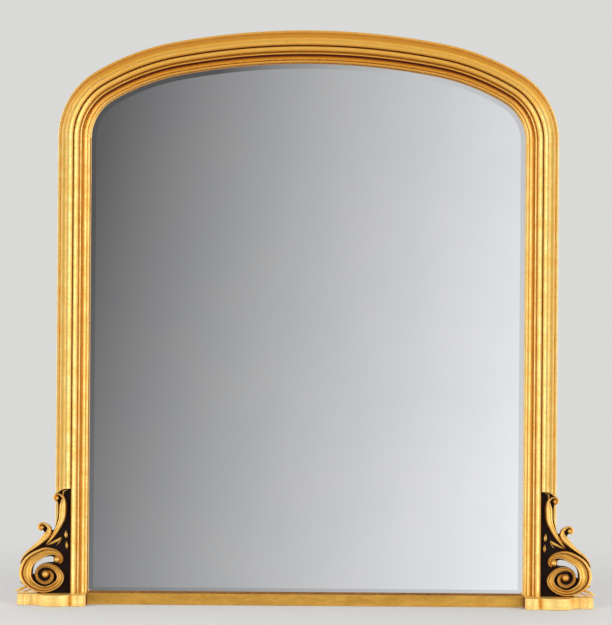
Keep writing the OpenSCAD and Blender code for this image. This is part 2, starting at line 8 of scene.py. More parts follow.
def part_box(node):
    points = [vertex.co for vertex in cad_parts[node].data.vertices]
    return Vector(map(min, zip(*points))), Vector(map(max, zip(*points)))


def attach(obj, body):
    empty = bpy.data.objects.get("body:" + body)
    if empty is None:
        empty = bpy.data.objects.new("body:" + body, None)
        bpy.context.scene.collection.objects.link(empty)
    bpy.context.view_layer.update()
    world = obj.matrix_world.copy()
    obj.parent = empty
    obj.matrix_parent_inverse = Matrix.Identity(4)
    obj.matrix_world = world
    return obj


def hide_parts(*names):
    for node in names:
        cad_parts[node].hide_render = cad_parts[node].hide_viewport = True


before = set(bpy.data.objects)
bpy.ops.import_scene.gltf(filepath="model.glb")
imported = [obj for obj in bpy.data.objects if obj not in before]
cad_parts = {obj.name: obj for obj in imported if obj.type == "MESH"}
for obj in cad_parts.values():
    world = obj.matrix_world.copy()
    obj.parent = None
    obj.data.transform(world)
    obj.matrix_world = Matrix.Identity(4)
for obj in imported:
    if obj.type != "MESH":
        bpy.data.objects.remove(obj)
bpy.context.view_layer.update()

# Overmantel mirror. Metres, +Z up, front towards -Y, origin under the middle of the plinth.

MM = 0.001
stile_low, stile_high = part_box("stile_right")
half_w = stile_high.x
back_y = stile_high.y
plinth_h = stile_low.z
spring_z = stile_high.z
top_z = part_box("crown")[1].z
rail_low, rail_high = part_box("plinth_rail")
wall_y = rail_high.y
block_in_x = rail_high.x
plinth_end_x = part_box("plinth_block_right")[1].x
block_front_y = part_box("plinth_block_right")[0].y
SIDES = {"left": -1, "right": 1}

# Arch: radii of the outer edge, and angles from upright.
crown_r = 1588 * MM
haunch_r = 532 * MM
shoulder_r = 170 * MM
crown_half = math.radians(10.7)


def along(centre, radius, angle):
    """Point on an arc of the frame, as (x, z), at an angle from upright."""
    return centre + radius * Vector((math.sin(angle), math.cos(angle)))


crown_c = Vector((0, top_z - crown_r))
haunch_c = along(crown_c, crown_r - haunch_r, crown_half)
haunch_end = math.asin((half_w - shoulder_r - haunch_c.x) / (haunch_r - shoulder_r))
shoulder_c = along(haunch_c, haunch_r - shoulder_r, haunch_end)

# Moulding section: u inwards from the outer edge, v forwards from the back, in mm.
face_w = 70
fillet_w = 5.5
fillet_d = 40
torus_w = 26.5
torus_d = 54
quirk_w = 2
quirk_d = 36
ovolo_w = 10
ovolo_d = 46
bead_w = 3.6
bead_d = 37
deep_w = 4
floor_d = 24
sight_bead_d = 27
sight_w = 2
sight_ease = 1
rebate_w = 8
crest_lean = 3
bead_quirk = 4.5
torus_u = fillet_w + quirk_w
ovolo_u = torus_u + torus_w + quirk_w
bead_u = ovolo_u + ovolo_w + quirk_w
cove_u = bead_u + bead_w + deep_w
sight_bead_u = face_w - sight_w - bead_w
sight_u = face_w - sight_ease
sight_d = sight_bead_d - bead_w

# Glass: the stack in the rebate.
board_t = 4
sheet_t = 8
glass_t = 6
glass_edge_t = 3
bevel_w = 19
lap = 6.5
glass_v = board_t + sheet_t
lip_v = glass_v + glass_edge_t + (glass_t - glass_edge_t) * lap / bevel_w
groove_z = plinth_h - 10 * MM


# ---------------------------------------------------------------- outlines

def arc(centre_u, centre_v, radius, start, end, steps):
    """Points on a circle from start to end, in degrees from +u towards +v."""
    turns = [math.radians(start + (end - start) * k / steps) for k in range(steps + 1)]
    return [(centre_u + radius * math.cos(a), centre_v + radius * math.sin(a)) for a in turns]


def eased(corners, steps=3):
    """Line through corners; a corner with a third number is rounded by that much."""
    line = []
    for i, corner in enumerate(corners):
        here = Vector(corner[:2])
        if len(corner) < 3 or i in (0, len(corners) - 1):
            line.append(here)
            continue
        before = Vector(corners[i - 1][:2]) - here
        after = Vector(corners[i + 1][:2]) - here
        reach = min(corner[2], before.length * 0.45, after.length * 0.45)
        first = here + before.normalized() * reach
        last = here + after.normalized() * reach
        for k in range(steps + 1):
            t = k / steps
            line.append((1 - t) ** 2 * first + 2 * t * (1 - t) * here + t * t * last)
    return line


def smooth(rows, steps):
    """A smooth curve through rows of numbers, through every row."""
    rows = [Vector(row) for row in rows]
    line = []
    for i in range(len(rows) - 1):
        a = rows[max(i - 1, 0)]
        b = rows[i]
        c = rows[i + 1]
        d = rows[min(i + 2, len(rows) - 1)]
        for k in range(steps):
            t = k / steps
            line.append((2 * b + (c - a) * t + (2 * a - 5 * b + 4 * c - d) * t * t
                         + (3 * b - a - 3 * c + d) * t ** 3) / 2)
    line.append(rows[-1])
    return line


def leaning(line, lean):
    """Moves the crest of a rounded member inwards and leaves its feet."""
    low = min(v for u, v in line)
    rise = max(v for u, v in line) - low
    return [(u + lean * ((v - low) / rise) ** 2, v) for u, v in line]


def moulding_line():
    """The section from the outer back edge, over the face and back through the rebate."""
    torus_r = torus_w / 2
    bead_r = bead_w / 2
    cove_r = sight_bead_u - quirk_w / 2 - cove_u
    return eased([
        (0, 0), (0, fillet_d, 1.2), (fillet_w, fillet_d, 0.6), (fillet_w, quirk_d, 0.5),
        (torus_u + 0.3, quirk_d, 0.4),
        *leaning(arc(torus_u + torus_r, torus_d - torus_r, torus_r, 190, -10, 32), crest_lean),
        (ovolo_u - quirk_w - 0.3, quirk_d, 0.4),
        (ovolo_u, quirk_d, 0.4), (ovolo_u, ovolo_d, 1.0),
        *arc(ovolo_u, ovolo_d - ovolo_w, ovolo_w, 82, 0, 14),
        (ovolo_u + ovolo_w, bead_d - bead_quirk, 0.5), (bead_u + 0.2, bead_d - bead_quirk, 0.4),
        *arc(bead_u + bead_r, bead_d - bead_r, bead_r, 190, -10, 14),
        (bead_u + bead_w - 0.2, floor_d, 0.6), (cove_u, floor_d, 0.8),
        (cove_u, floor_d + cove_r, 0.5),
        *arc(cove_u + cove_r, floor_d + cove_r, cove_r, 186, 270, 14),
        (sight_bead_u + 0.2, sight_d, 0.3),
        *arc(sight_bead_u + bead_r, sight_bead_d - bead_r, bead_r, 190, -10, 14),
        (face_w - sight_w, sight_d, 0.3), (sight_u, sight_d, 0.8), (sight_u, lip_v, 0.6),
        (face_w - rebate_w, lip_v), (face_w - rebate_w, 0), (0, 0),
    ])


def sunk(line):
    """How far each point lies down between its neighbours: 0 on a crest, 1 in a deep quirk."""
    depth = []
    for here in line:
        rise = [0.0, 0.0]
        for there in line:
            gap = there.x - here.x
            if abs(gap) > 0.25 and there.y > here.y:
                side = 1 if gap > 0 else 0
                rise[side] = max(rise[side], math.atan((there.y - here.y) / abs(gap)))
        depth.append(sum(rise) / math.pi)
    return depth


# Shares of toning and painted shade. The lip by the glass is darker on the left stile, as
# photographed: painted shade.
FILLET_QUIRK_TONE = 0.15
FLANK_SHADE = 0.42
BEAD_QUIRK_TONE = 0.6
LIP_TONE_AND_SHADE = 0.6
STILE_LIP_SHADE = {"left": 2.0, "right": 0.4}
CUT_TONE = 0.6
flank_w = 14


def toned(line):
    """How dark each point is toned and shaded: by its depth, with a say for each member."""
    lip_top = sight_d - 0.5
    depths = []
    for point, depth in zip(line, sunk(line)):
        if point.x < torus_u + 1.5:
            depth *= FILLET_QUIRK_TONE
        # painted shade: the outer flank of the torus is darkened beyond what its depth gives
        elif point.x < torus_u + flank_w:
            depth = FLANK_SHADE * min(1, (torus_u + flank_w - point.x) / 4)
        elif bead_u - quirk_w < point.x < bead_u:
            depth *= BEAD_QUIRK_TONE
        # painted shade on the lip by the glass
        elif point.x > sight_u - 0.3 and point.y < lip_top:
            depth = LIP_TONE_AND_SHADE
        depths.append(depth)
    return depths


def on_flank(point):
    """Share of painted shade, 1 on the outer flank of the torus, fading out before its crest."""
    inwards = point.x - torus_u
    return max(0.0, min(1.0, (inwards - 1) / 6, (flank_w + 1.5 - inwards) / 5))


SECTION = moulding_line()
SUNK = toned(SECTION)
FLANK = [on_flank(point) for point in SECTION]
RUN = [0.0]
for near, far in zip(SECTION, SECTION[1:]):
    RUN.append(RUN[-1] + (far - near).length)
# Lengths along the section at which the ochre side ends and the gilded face ends.
OCHRE_END = fillet_d - 4
GILT_END = next(r for r, p in zip(RUN, SECTION)
                if p.x > sight_u - 0.1 and p.y < lip_v + 1)


# ---------------------------------------------------------------- finishes

class Layers:
    """Layers of pattern and colour joined up; sizes of a pattern are in millimetres."""

    def __init__(self, tree):
        self.tree = tree

    def join(self, value, socket):
        """Sets a socket to a plain value, or links it to a layer."""
        if isinstance(value, bpy.types.NodeSocket):
            self.tree.links.new(value, socket)
        else:
            socket.default_value = value

    def node(self, kind, out=0, settings=None, **inputs):
        """A node with its inputs filled in; gives back one of its outputs."""
        made = self.tree.nodes.new("ShaderNode" + kind)
        for key, value in (settings or {}).items():
            setattr(made, key, value)
        for key, value in inputs.items():
            self.join(value, made.inputs[key.replace("_", " ")])
        return made.outputs[out]

    def place(self, stretch=(1, 1, 1), on_surface=False):
        """Coordinates for a pattern, on the piece or along its own surface."""
        source = self.node("TexCoord", out="UV" if on_surface else "Object")
        return self.node("Mapping", Vector=source, Scale=stretch)

    def marked(self, name):
        """A share that is marked on the points of the piece."""
        return self.node("Attribute", out="Fac", settings={"attribute_name": name})

    def cloud(self, place, size, detail=3.0, harsh=0.5, warp=0.0):
        """Soft patches of about the given size."""
        return self.node("TexNoise", Vector=place, Scale=1 / (size * MM), Detail=detail,
                         Roughness=harsh, Distortion=warp)

    def work(self, operation, first, second=0.0):
        """One step of arithmetic on two values."""
        made = self.tree.nodes.new("ShaderNodeMath")
        made.operation = operation
        self.join(first, made.inputs[0])
        self.join(second, made.inputs[1])
        return made.outputs[0]

    def span(self, value, low, high, to_low=0.0, to_high=1.0):
        """Goes smoothly from one level to another while the value goes from low to high."""
        return self.node("MapRange", settings={"interpolation_type": "SMOOTHSTEP"}, Value=value,
                         From_Min=low, From_Max=high, To_Min=to_low, To_Max=to_high)

    def tint(self, share, first, second):
        """The first colour with a share of the second laid over it."""
        made = self.tree.nodes.new("ShaderNodeMix")
        made.data_type = "RGBA"
        made.clamp_factor = False
        self.join(share, made.inputs[0])
        self.join((*first, 1) if isinstance(first, tuple) else first, made.inputs[6])
        self.join((*second, 1) if isinstance(second, tuple) else second, made.inputs[7])
        return made.outputs[2]

    def relief(self, height, depth, strength=1.0, under=None):
        """Fine unevenness of the surface, over a coarser one where there is one."""
        made = self.tree.nodes.new("ShaderNodeBump")
        made.inputs["Distance"].default_value = depth * MM
        made.inputs["Strength"].default_value = strength
        self.join(height, made.inputs["Height"])
        if under is not None:
            self.join(under, made.inputs["Normal"])
        return made.outputs[0]


class Finish(Layers):
    """A material for a surface, made of layers."""

    def __init__(self, name):
        self.material = bpy.data.materials.new(name)
        self.material.use_nodes = True
        super().__init__(self.material.node_tree)
        self.skin = self.tree.nodes["Principled BSDF"]

    def surface(self, **inputs):
        """Fills in the surface itself and gives back the material."""
        for key, value in inputs.items():
            value = (*value, 1) if isinstance(value, tuple) else value
            self.join(value, self.skin.inputs[key.replace("_", " ")])
        return self.material


# Of these colours the pale leaf and the ochre give painted light low down; the toned leaf, the
# red and the grime darken the hollows, partly as painted shade.
LEAF = (0.95, 0.53, 0.105)
LEAF_PALE = (1.0, 0.78, 0.30)
LEAF_DEEP = (0.86, 0.43, 0.065)
LEAF_TONE_AND_SHADE = (0.76, 0.32, 0.022)
LEAF_OCHRE = (0.80, 0.43, 0.05)
LEAF_RED = (0.55, 0.10, 0.012)
CLAY = (0.36, 0.085, 0.03)
GLAZE_AND_SHADE = (0.36, 0.20, 0.03)
GRIME_AND_SHADE = (0.12, 0.009, 0.004)
# Heights between which the gilding goes from painted light, paler with less darkened hollows, to
# fully toned and shaded.
LIT_BELOW = 1.01
TONED_AND_SHADED_ABOVE = 1.20


def gilding(name, streak=(1, 1, 1), deep=0.5, lit_foot=0.0, pale=0.0, laps=True, lift=0.0,
            glaze=0.0):
    """Burnished leaf over red clay, toned darker where it is sunk, partly as painted shade, and
    painted paler low down as painted light.
    """
    f = Finish(name)
    at = f.place()
    combed = f.place(streak)
    height = f.node("SeparateXYZ", out=2, Vector=at)
    low = f.span(height, LIT_BELOW, TONED_AND_SHADED_ABOVE, 1.0, 0.0)
    # painted light: the darkening of the hollows weakens low down
    sunk_in = f.work("MULTIPLY", f.marked("recess"),
                     f.span(height, LIT_BELOW, TONED_AND_SHADED_ABOVE, 1.0 - 0.65 * lit_foot, 1.0))

    # Leaf, patchy and brushed.
    mottle = f.cloud(combed, 26, 4, 0.6, 0.4)
    brushed = f.cloud(combed, 5, 4, 0.6)
    fine = f.cloud(at, 1.6, 3, 0.6)
    tone = f.work("ADD", f.work("MULTIPLY", mottle, 0.6), f.work("MULTIPLY", brushed, 0.4))
    share = f.span(tone, 0.42 - 0.12 * deep, 0.62 + 0.05 * (1 - deep), 0.0, 0.75)
    # painted light: the leaf is paler low down
    lit_paleness = f.work("MULTIPLY", low, pale)
    colour = f.tint(share, f.tint(lit_paleness, LEAF, LEAF_PALE), f.tint(lit_paleness, LEAF_DEEP, LEAF))

    # Laps of one leaf over the next, across the run of the moulding.
    if laps:
        run = f.node("SeparateXYZ", Vector=f.place(on_surface=True))
        wander = f.work("MULTIPLY", f.cloud(at, 12, 2), 0.006)
        step = f.work("PINGPONG", f.work("ADD", run, wander), 0.042)
        edge = f.span(step, 0.0, 0.0011, 0.55, 0.0)
        colour = f.tint(edge, colour, LEAF_DEEP)

    # Clay where the leaf is rubbed through, and toning in the hollows, partly painted shade; low
    # down it turns ochre, painted light.
    rubbed = f.work("MULTIPLY", f.span(f.cloud(at, 9, 5, 0.7), 0.60, 0.74),
                    f.span(sunk_in, 0.02, 0.30, 0.8, 0.15))
    colour = f.tint(rubbed, colour, CLAY)
    colour = f.tint(f.span(sunk_in, 0.12, 0.50, 0.0, 0.9), colour,
                    f.tint(lit_paleness, LEAF_TONE_AND_SHADE, LEAF_OCHRE))
    colour = f.tint(f.span(sunk_in, 0.55, 0.80, 0.0, 0.7), colour, LEAF_RED)

    # Brown glaze in patches, and painted shade in that brown on the outer flank of the torus low
    # down.
    shaded = f.work("MULTIPLY", f.work("MULTIPLY", f.marked("flank"), low), 0.75)
    glazed = f.work("MULTIPLY", f.span(mottle, 0.3, 0.7, 0.4, 1.6), glaze)
    colour = f.tint(f.work("MAXIMUM", shaded, glazed), colour, GLAZE_AND_SHADE)

    # Grime in specks, and grime with painted shade in the deepest quirks, with a ragged edge.
    ragged = f.work("ADD", sunk_in, f.work("MULTIPLY", f.work("SUBTRACT", brushed, 0.5), 0.40))
    # the painted shade in the quirks weakens low down, but stays full where the marking tops 1.2
    quirk_shade_share = f.span(height, LIT_BELOW, TONED_AND_SHADED_ABOVE, 1.0 - lit_foot, 1.0)
    quirk_shade_share = f.work("MAXIMUM", quirk_shade_share, f.span(f.marked("recess"), 1.2, 1.8))
    grime_and_shade = f.work("MULTIPLY", f.span(ragged, 0.42, 0.70), quirk_shade_share)
    speck = f.span(f.cloud(at, 3.2, 1, 0.4), 0.74, 0.80, 0.0, 0.5)
    grime_and_shade = f.work("MAXIMUM", grime_and_shade, speck)
    colour = f.tint(grime_and_shade, colour, GRIME_AND_SHADE)

    shine = f.work("SUBTRACT", 1.0, f.work("MULTIPLY", grime_and_shade, 0.75))
    rough = f.work("ADD", f.span(tone, 0.3, 0.7, 0.36 + lift, 0.48 + lift),
                   f.work("MULTIPLY", grime_and_shade, 0.35))
    soft = f.relief(brushed, 0.25, 0.5)
    bumps = f.relief(fine, 0.06, 0.6, soft)
    return f.surface(Base_Color=colour, Metallic=shine, Roughness=rough, Normal=bumps,
                     Coat_Weight=0.10, Coat_Roughness=0.4)


def ochre_wash():
    """Yellow clay paint on the sides of the frame, thin and rubbed."""
    f = Finish("ochre_wash")
    at = f.place()
    thin = f.cloud(at, 14, 5, 0.65)
    fine = f.cloud(at, 1.2, 3)
    colour = f.tint(f.span(thin, 0.35, 0.7), (0.50, 0.30, 0.075), (0.30, 0.155, 0.045))
    colour = f.tint(f.span(f.cloud(at, 5, 5, 0.7), 0.62, 0.76), colour, (0.16, 0.07, 0.03))
    return f.surface(Base_Color=colour, Roughness=f.span(thin, 0.3, 0.7, 0.5, 0.72),
                     Normal=f.relief(fine, 0.08, 0.7))


def bare_wood(name, pale, dark, stretch):
    """Planed wood with its grain along the long way of the stretch."""
    f = Finish(name)
    grain_at = f.place(stretch)
    rings = f.node("TexWave", settings={"bands_direction": "DIAGONAL"}, Vector=grain_at,
                   Scale=42.0, Distortion=9.0, Detail=4.0, Detail_Scale=1.3)
    pores = f.cloud(grain_at, 0.9, 5, 0.6)
    tone = f.work("ADD", f.work("MULTIPLY", rings, 0.45), f.work("MULTIPLY", pores, 0.55))
    stain = f.span(f.cloud(f.place(), 70, 4, 0.6), 0.35, 0.7)
    colour = f.tint(f.span(tone, 0.25, 0.75), pale, dark)
    colour = f.tint(f.work("MULTIPLY", stain, 0.45), colour, tuple(c * 0.42 for c in dark))
    return f.surface(Base_Color=colour, Roughness=f.span(tone, 0.2, 0.8, 0.62, 0.8),
                     Normal=f.relief(tone, 0.15, 0.6))


def mirror_finish():
    """Silvered glass with a faint haze and a few dull spots."""
    f = Finish("silvered_glass")
    at = f.place()
    haze = f.cloud(at, 180, 3, 0.5)
    spots = f.span(f.cloud(at, 7, 2, 0.5), 0.80, 0.86, 0.0, 0.35)
    colour = f.tint(f.span(haze, 0.3, 0.7), (0.79, 0.795, 0.80), (0.765, 0.775, 0.785))
    colour = f.tint(spots, colour, (0.50, 0.51, 0.52))
    rough = f.span(haze, 0.3, 0.7, 0.006, 0.014)
    return f.surface(Base_Color=colour, Metallic=1.0, Roughness=rough,
                     Normal=f.relief(f.cloud(at, 90, 2, 0.4), 0.02, 0.05))


def dark_ground():
    """Fret-cut board behind the carving, toned nearly black with traces of leaf."""
    f = Finish("toned_ground")
    at = f.place()
    brushed = f.cloud(at, 6, 5, 0.65)
    colour = f.tint(f.span(brushed, 0.35, 0.7), (0.006, 0.003, 0.003), (0.016, 0.006, 0.004))
    edge = f.work("MULTIPLY", f.marked("edge"), f.span(f.cloud(at, 3, 4, 0.7), 0.48, 0.66))
    colour = f.tint(edge, colour, (0.40, 0.20, 0.05))
    return f.surface(Base_Color=colour, Metallic=f.work("MULTIPLY", edge, 0.8),
                     Roughness=f.span(brushed, 0.3, 0.7, 0.7, 0.85), Specular_IOR_Level=0.15,
                     Normal=f.relief(brushed, 0.3, 0.6))


def plated(name, colour, dull, scratch=(1, 1, 1), rough=0.32):
    """Thin bright plating on steel, dulled and scratched in handling."""
    f = Finish(name)
    at = f.place()
    lines = f.cloud(f.place(scratch), 1.5, 4, 0.7)
    tarnish = f.span(f.cloud(at, 5, 5, 0.65), 0.45, 0.7)
    tone = f.tint(tarnish, colour, dull)
    return f.surface(Base_Color=tone, Metallic=0.95,
                     Roughness=f.span(lines, 0.3, 0.7, rough - 0.08, rough + 0.14),
                     Normal=f.relief(lines, 0.03, 0.5))


def pressed_board(name, pale, dark, fleck):
    """Brown fibre board, mottled, with fine fibres pressed into its face."""
    f = Finish(name)
    at = f.place()
    blotch = f.cloud(at, 60, 4, 0.6)
    fibre = f.cloud(f.place((1, 1, 0.25)), 1.1, 5, 0.7, 0.6)
    weave = f.node("TexVoronoi", Vector=at, Scale=1 / (fleck * MM))
    colour = f.tint(f.span(blotch, 0.3, 0.7), pale, dark)
    colour = f.tint(f.span(fibre, 0.58, 0.75, 0.0, 0.55), colour, tuple(c * 0.5 for c in dark))
    height = f.work("ADD", fibre, f.work("MULTIPLY", weave, 0.4))
    return f.surface(Base_Color=colour, Roughness=f.span(fibre, 0.3, 0.7, 0.6, 0.8),
                     Normal=f.relief(height, 0.12, 0.6))


def soft_rubber():
    """Black rubber, dull and slightly grainy."""
    f = Finish("pad_rubber")
    grain = f.cloud(f.place(), 0.8, 3)
    colour = f.tint(f.span(grain, 0.3, 0.7), (0.020, 0.020, 0.022), (0.045, 0.044, 0.043))
    return f.surface(Base_Color=colour, Roughness=f.span(grain, 0.3, 0.7, 0.7, 0.85),
                     Normal=f.relief(grain, 0.06, 0.6))


FACE_GILT = gilding("face_gilt", lit_foot=0.75, pale=0.85)
RAIL_GILT = gilding("rail_gilt", streak=(0.45, 1.2, 1.6), deep=1.0, laps=False, lift=0.05,
                    glaze=0.3)
BLOCK_GILT = gilding("block_gilt", streak=(0.2, 0.3, 1.6), deep=0.2, pale=0.9, laps=False,
                     lift=0.2)
CARVED_GILT = gilding("carved_gilt", deep=0.6, pale=0.65, laps=False, glaze=0.1)
OCHRE = ochre_wash()
PINE = bare_wood("old_pine", (0.42, 0.25, 0.115), (0.25, 0.13, 0.055), (1, 1, 0.08))
PINE_FLAT = bare_wood("old_pine_flat", (0.42, 0.25, 0.115), (0.25, 0.13, 0.055), (0.08, 1, 1))
BEECH = bare_wood("beech", (0.62, 0.42, 0.24), (0.48, 0.30, 0.16), (0.12, 1, 1))
GLASS = mirror_finish()
GROUND = dark_ground()
BRASS = plated("brassed_plate", (0.62, 0.45, 0.17), (0.34, 0.22, 0.09), (1, 1, 0.1))
ZINC = plated("zinc_plate", (0.60, 0.60, 0.59), (0.36, 0.35, 0.33), rough=0.28)
HARDBOARD = pressed_board("hardboard", (0.315, 0.18, 0.086), (0.245, 0.134, 0.062), 2.2)
CARD = pressed_board("grey_card", (0.42, 0.36, 0.28), (0.33, 0.27, 0.20), 1.5)
RUBBER = soft_rubber()


# ---------------------------------------------------------------- making pieces

def as_object(bm, name, finishes=()):
    """Makes an object of the bmesh, with its finishes."""
    mesh = bpy.data.meshes.new(name)
    bm.to_mesh(mesh)
    bm.free()
    for finish in finishes:
        mesh.materials.append(finish)
    piece = bpy.data.objects.new(name, mesh)
    bpy.context.scene.collection.objects.link(piece)
    return piece


def finished(name, bm, finishes, stands_for=(), body="frame", crease=38):
    """Makes an object of the bmesh, shades it and sets it on its body."""
    bmesh.ops.recalc_face_normals(bm, faces=bm.faces)
    for face in bm.faces:
        face.smooth = True
    for edge in bm.edges:
        if edge.is_manifold and edge.calc_face_angle(0) > math.radians(crease):
            edge.smooth = False
    piece = as_object(bm, name, finishes)
    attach(piece, body)
    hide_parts(*stands_for)
    return piece


def recess_layer(bm):
    """Where the points of a piece keep how far they are sunk."""
    return bm.verts.layers.float.get("recess") or bm.verts.layers.float.new("recess")


def points_in(made):
    """The points among what an operator made."""
    return [item for item in made if isinstance(item, bmesh.types.BMVert)]


def edges_in(made):
    """The edges among what an operator made."""
    return [item for item in made if isinstance(item, bmesh.types.BMEdge)]


def loop_of(bm, points):
    """A closed wire through the points."""
    verts = [bm.verts.new(point) for point in points]
    return [bm.edges.new((verts[i - 1], verts[i])) for i in range(len(verts))]


def filled(bm, outlines):
    """A flat sheet within the first outline, pierced by the others."""
    edges = []
    for points in outlines:
        edges += loop_of(bm, points)
    bmesh.ops.triangle_fill(bm, edges=edges, use_beauty=True)


def thickened(bm, way):
    """Gives a flat sheet its thickness."""
    lifted = points_in(bmesh.ops.extrude_face_region(bm, geom=bm.faces[:])["geom"])
    bmesh.ops.translate(bm, vec=way, verts=lifted)
    bmesh.ops.recalc_face_normals(bm, faces=bm.faces)


def drawn_out(bm, edges, way, steps):
    """Draws a line of edges out along the way, in even steps."""
    step = [part / steps for part in way]
    for _ in range(steps):
        made = bmesh.ops.extrude_edge_only(bm, edges=edges)["geom"]
        moved = points_in(made)
        edges = [edge for edge in edges_in(made) if all(vert in moved for vert in edge.verts)]
        bmesh.ops.translate(bm, vec=step, verts=moved)


def drawn(bm, rings):
    """A skin drawn out ring by ring; every ring has as many points as the first."""
    order = bm.verts.layers.int.new("order")
    edges = loop_of(bm, rings[0])
    for k, vert in enumerate(bm.verts):
        vert[order] = k
    for ring in rings[1:]:
        made = bmesh.ops.extrude_edge_only(bm, edges=edges)["geom"]
        edges = edges_in(made)
        for vert in points_in(made):
            vert.co = ring[vert[order]]
    bm.verts.layers.int.remove(order)


def to_side(bm, side):
    """Leaves a piece of the right side as it is, or mirrors it to the left where side is -1."""
    bmesh.ops.scale(bm, vec=(side, 1, 1), verts=bm.verts)


def close_ends(bm, finish=0):
    """Caps every open loop."""
    open_edges = [edge for edge in bm.edges if edge.is_boundary]
    caps = bmesh.ops.holes_fill(bm, edges=open_edges, sides=0)["faces"]
    for cap in caps:
        cap.material_index = finish


def section_at(bm, place):
    """Draws the moulding's section as a wire; place turns (u, v) into a point."""
    recess = recess_layer(bm)
    run = bm.verts.layers.float.new("run")
    flank = bm.verts.layers.float.new("flank")
    verts = []
    for (u, v), depth, outer, length in zip(SECTION, SUNK, FLANK, RUN):
        vert = bm.verts.new(place(u * MM, v * MM))
        vert[recess] = depth
        vert[flank] = outer
        vert[run] = length
        verts.append(vert)
    for first, second in zip(verts, verts[1:]):
        bm.edges.new((first, second))
    return verts + list(bm.edges)


def dress_run(bm, distance):
    """Lays the pattern along a run of moulding and marks which faces are gilded."""
    uv = bm.loops.layers.uv.verify()
    run = bm.verts.layers.float["run"]
    for face in bm.faces:
        across = sum(vert[run] for vert in face.verts) / len(face.verts)
        face.material_index = 1 if across < OCHRE_END else 0 if across < GILT_END else 2
        for loop in face.loops:
            loop[uv].uv = (distance(loop.vert.co), loop.vert[run] * MM)
    bmesh.ops.remove_doubles(bm, verts=bm.verts, dist=1e-6)
    close_ends(bm, 2)


def arc_run(name, node, centre, radius, start, end, side=1, before=0.0):
    """A curved run of moulding about centre, from angle start to end from upright."""
    bm = bmesh.new()

    def place(u, v):
        x, z = along(centre, radius - u, start)
        return (x, back_y - v, z)

    steps = max(24, round(radius * (end - start) / (4 * MM)))
    bmesh.ops.spin(bm, geom=section_at(bm, place), cent=(centre.x, 0, centre.y),
                   axis=(0, 1, 0), angle=end - start, steps=steps)

    def distance(co):
        return before + radius * (math.atan2(co.x - centre.x, co.z - centre.y) - start)

    dress_run(bm, distance)
    to_side(bm, side)
    return finished(name, bm, [FACE_GILT, OCHRE, PINE], [node])


haunch_run = crown_r * crown_half
shoulder_run = haunch_run + haunch_r * (haunch_end - crown_half)
stile_run = shoulder_run + shoulder_r * (math.pi / 2 - haunch_end)


def arched_frame():
    """The crown and, on each side, a haunch and a shoulder."""
    arc_run("crown_moulding", "crown", crown_c, crown_r, -crown_half, crown_half,
            before=-haunch_run)
    for label, side in SIDES.items():
        arc_run(f"haunch_moulding_{label}", f"haunch_{label}", haunch_c, haunch_r,
                crown_half, haunch_end, side, haunch_run)
        arc_run(f"shoulder_moulding_{label}", f"shoulder_{label}", shoulder_c, shoulder_r,
                haunch_end, math.pi / 2, side, shoulder_run)


# ---------------------------------------------------------------- brackets
# Drawn in mm: x outwards from the stile's outer edge, z upwards from the plinth.
# A band's rows are [x, z, width].

ground_back = 20
ground_t = 12
relief_h = 16
tip_h = 4
full_relief_w = 20
bracket_h = 232
ground_in = ovolo_u - quirk_w
SCROLL_BAND = [
    (18.5, 46.5, 5), (12.5, 46.6, 6.5), (7.8, 42.8, 7.2), (6.6, 35.5, 7.8), (11.5, 27, 7.8),
    (23.5, 22.8, 7), (36.5, 29.5, 6.2), (41.6, 41, 6.2), (37.5, 53.5, 6.6), (22, 61.2, 8.4),
    (0, 55.5, 12), (-12.4, 36.8, 16.5), (-2.8, 18.5, 15.5), (24.1, 8.2, 14),
    (52.6, 19, 20), (65.8, 42.3, 28), (56, 71, 25), (26, 89.8, 22), (8, 92, 15.5),
    (-4.5, 88.5, 12), (-12.6, 81, 9), (-14, 72.5, 7), (-9, 66, 4.5),
]
TALL_STEM = [
    (-4, 205.6, 3.5), (1.2, 206.4, 5), (3.8, 211.2, 5.8), (1, 216.6, 5), (-5.3, 218.6, 4.4),
    (-12, 216.2, 5.4), (-17, 210.5, 8), (-17.6, 203, 13), (-16.6, 190.9, 17.5),
    (-15.3, 168.3, 16.5), (-9.1, 151.3, 13.5), (-0.4, 134.5, 10.2), (10.2, 119.6, 6.5),
    (20.8, 106.5, 1.2),
]
SHORT_STEM = [
    (29, 139.8, 4), (34.5, 140.3, 5.5), (36.8, 146, 6.2), (34.6, 151.5, 5.4),
    (28.5, 154, 4.8), (20.5, 150.8, 6.4), (14, 144.5, 9), (14, 136, 12.5),
    (20, 126.5, 15), (33.5, 111.8, 11.5), (49, 99.5, 8), (63, 88.6, 6),
    (72, 77.5, 4.2), (77.5, 65, 1),
]
UPPER_SPRIG = [(18.5, 105.5, 1), (11, 109, 4.5), (4, 112.7, 6), (-4, 117, 6.5),
               (-10.5, 121.5, 4), (-14, 123, 0.6)]
UPPER_HOOK = [(-13.5, 121, 0.6), (-11, 116, 2.4), (-8, 111.5, 2.6), (-3, 105, 0.6)]
TOP_CURL = [(-17, 212, 1.5), (-16.5, 222, 3.5), (-19.5, 226.5, 3.5), (-26, 227.5, 0.8)]
FOOT_LEAF = [(58, 15, 4), (68, 11.5, 6), (76, 8.6, 7), (84, 4.6, 4), (90, 1.5, 0.6)]
FOOT_LEAFLET = [(61, 17, 3), (68, 19, 4), (73, 21.5, 3.6), (78, 23.5, 0.6)]
FOOT_UNDER = [(53, 8, 2), (62, 5.2, 3), (68, 3, 3), (72, 1.8, 0.6)]
UPPER_HUSK = [(-23, 120.5, 1), (-23.4, 125, 6.6), (-23, 131, 7.6), (-22.4, 139, 0.8)]
LOWER_HUSK = [(-25.2, 97.5, 1), (-25.2, 102, 5.8), (-24.8, 107, 6.6), (-24.2, 115, 0.8)]
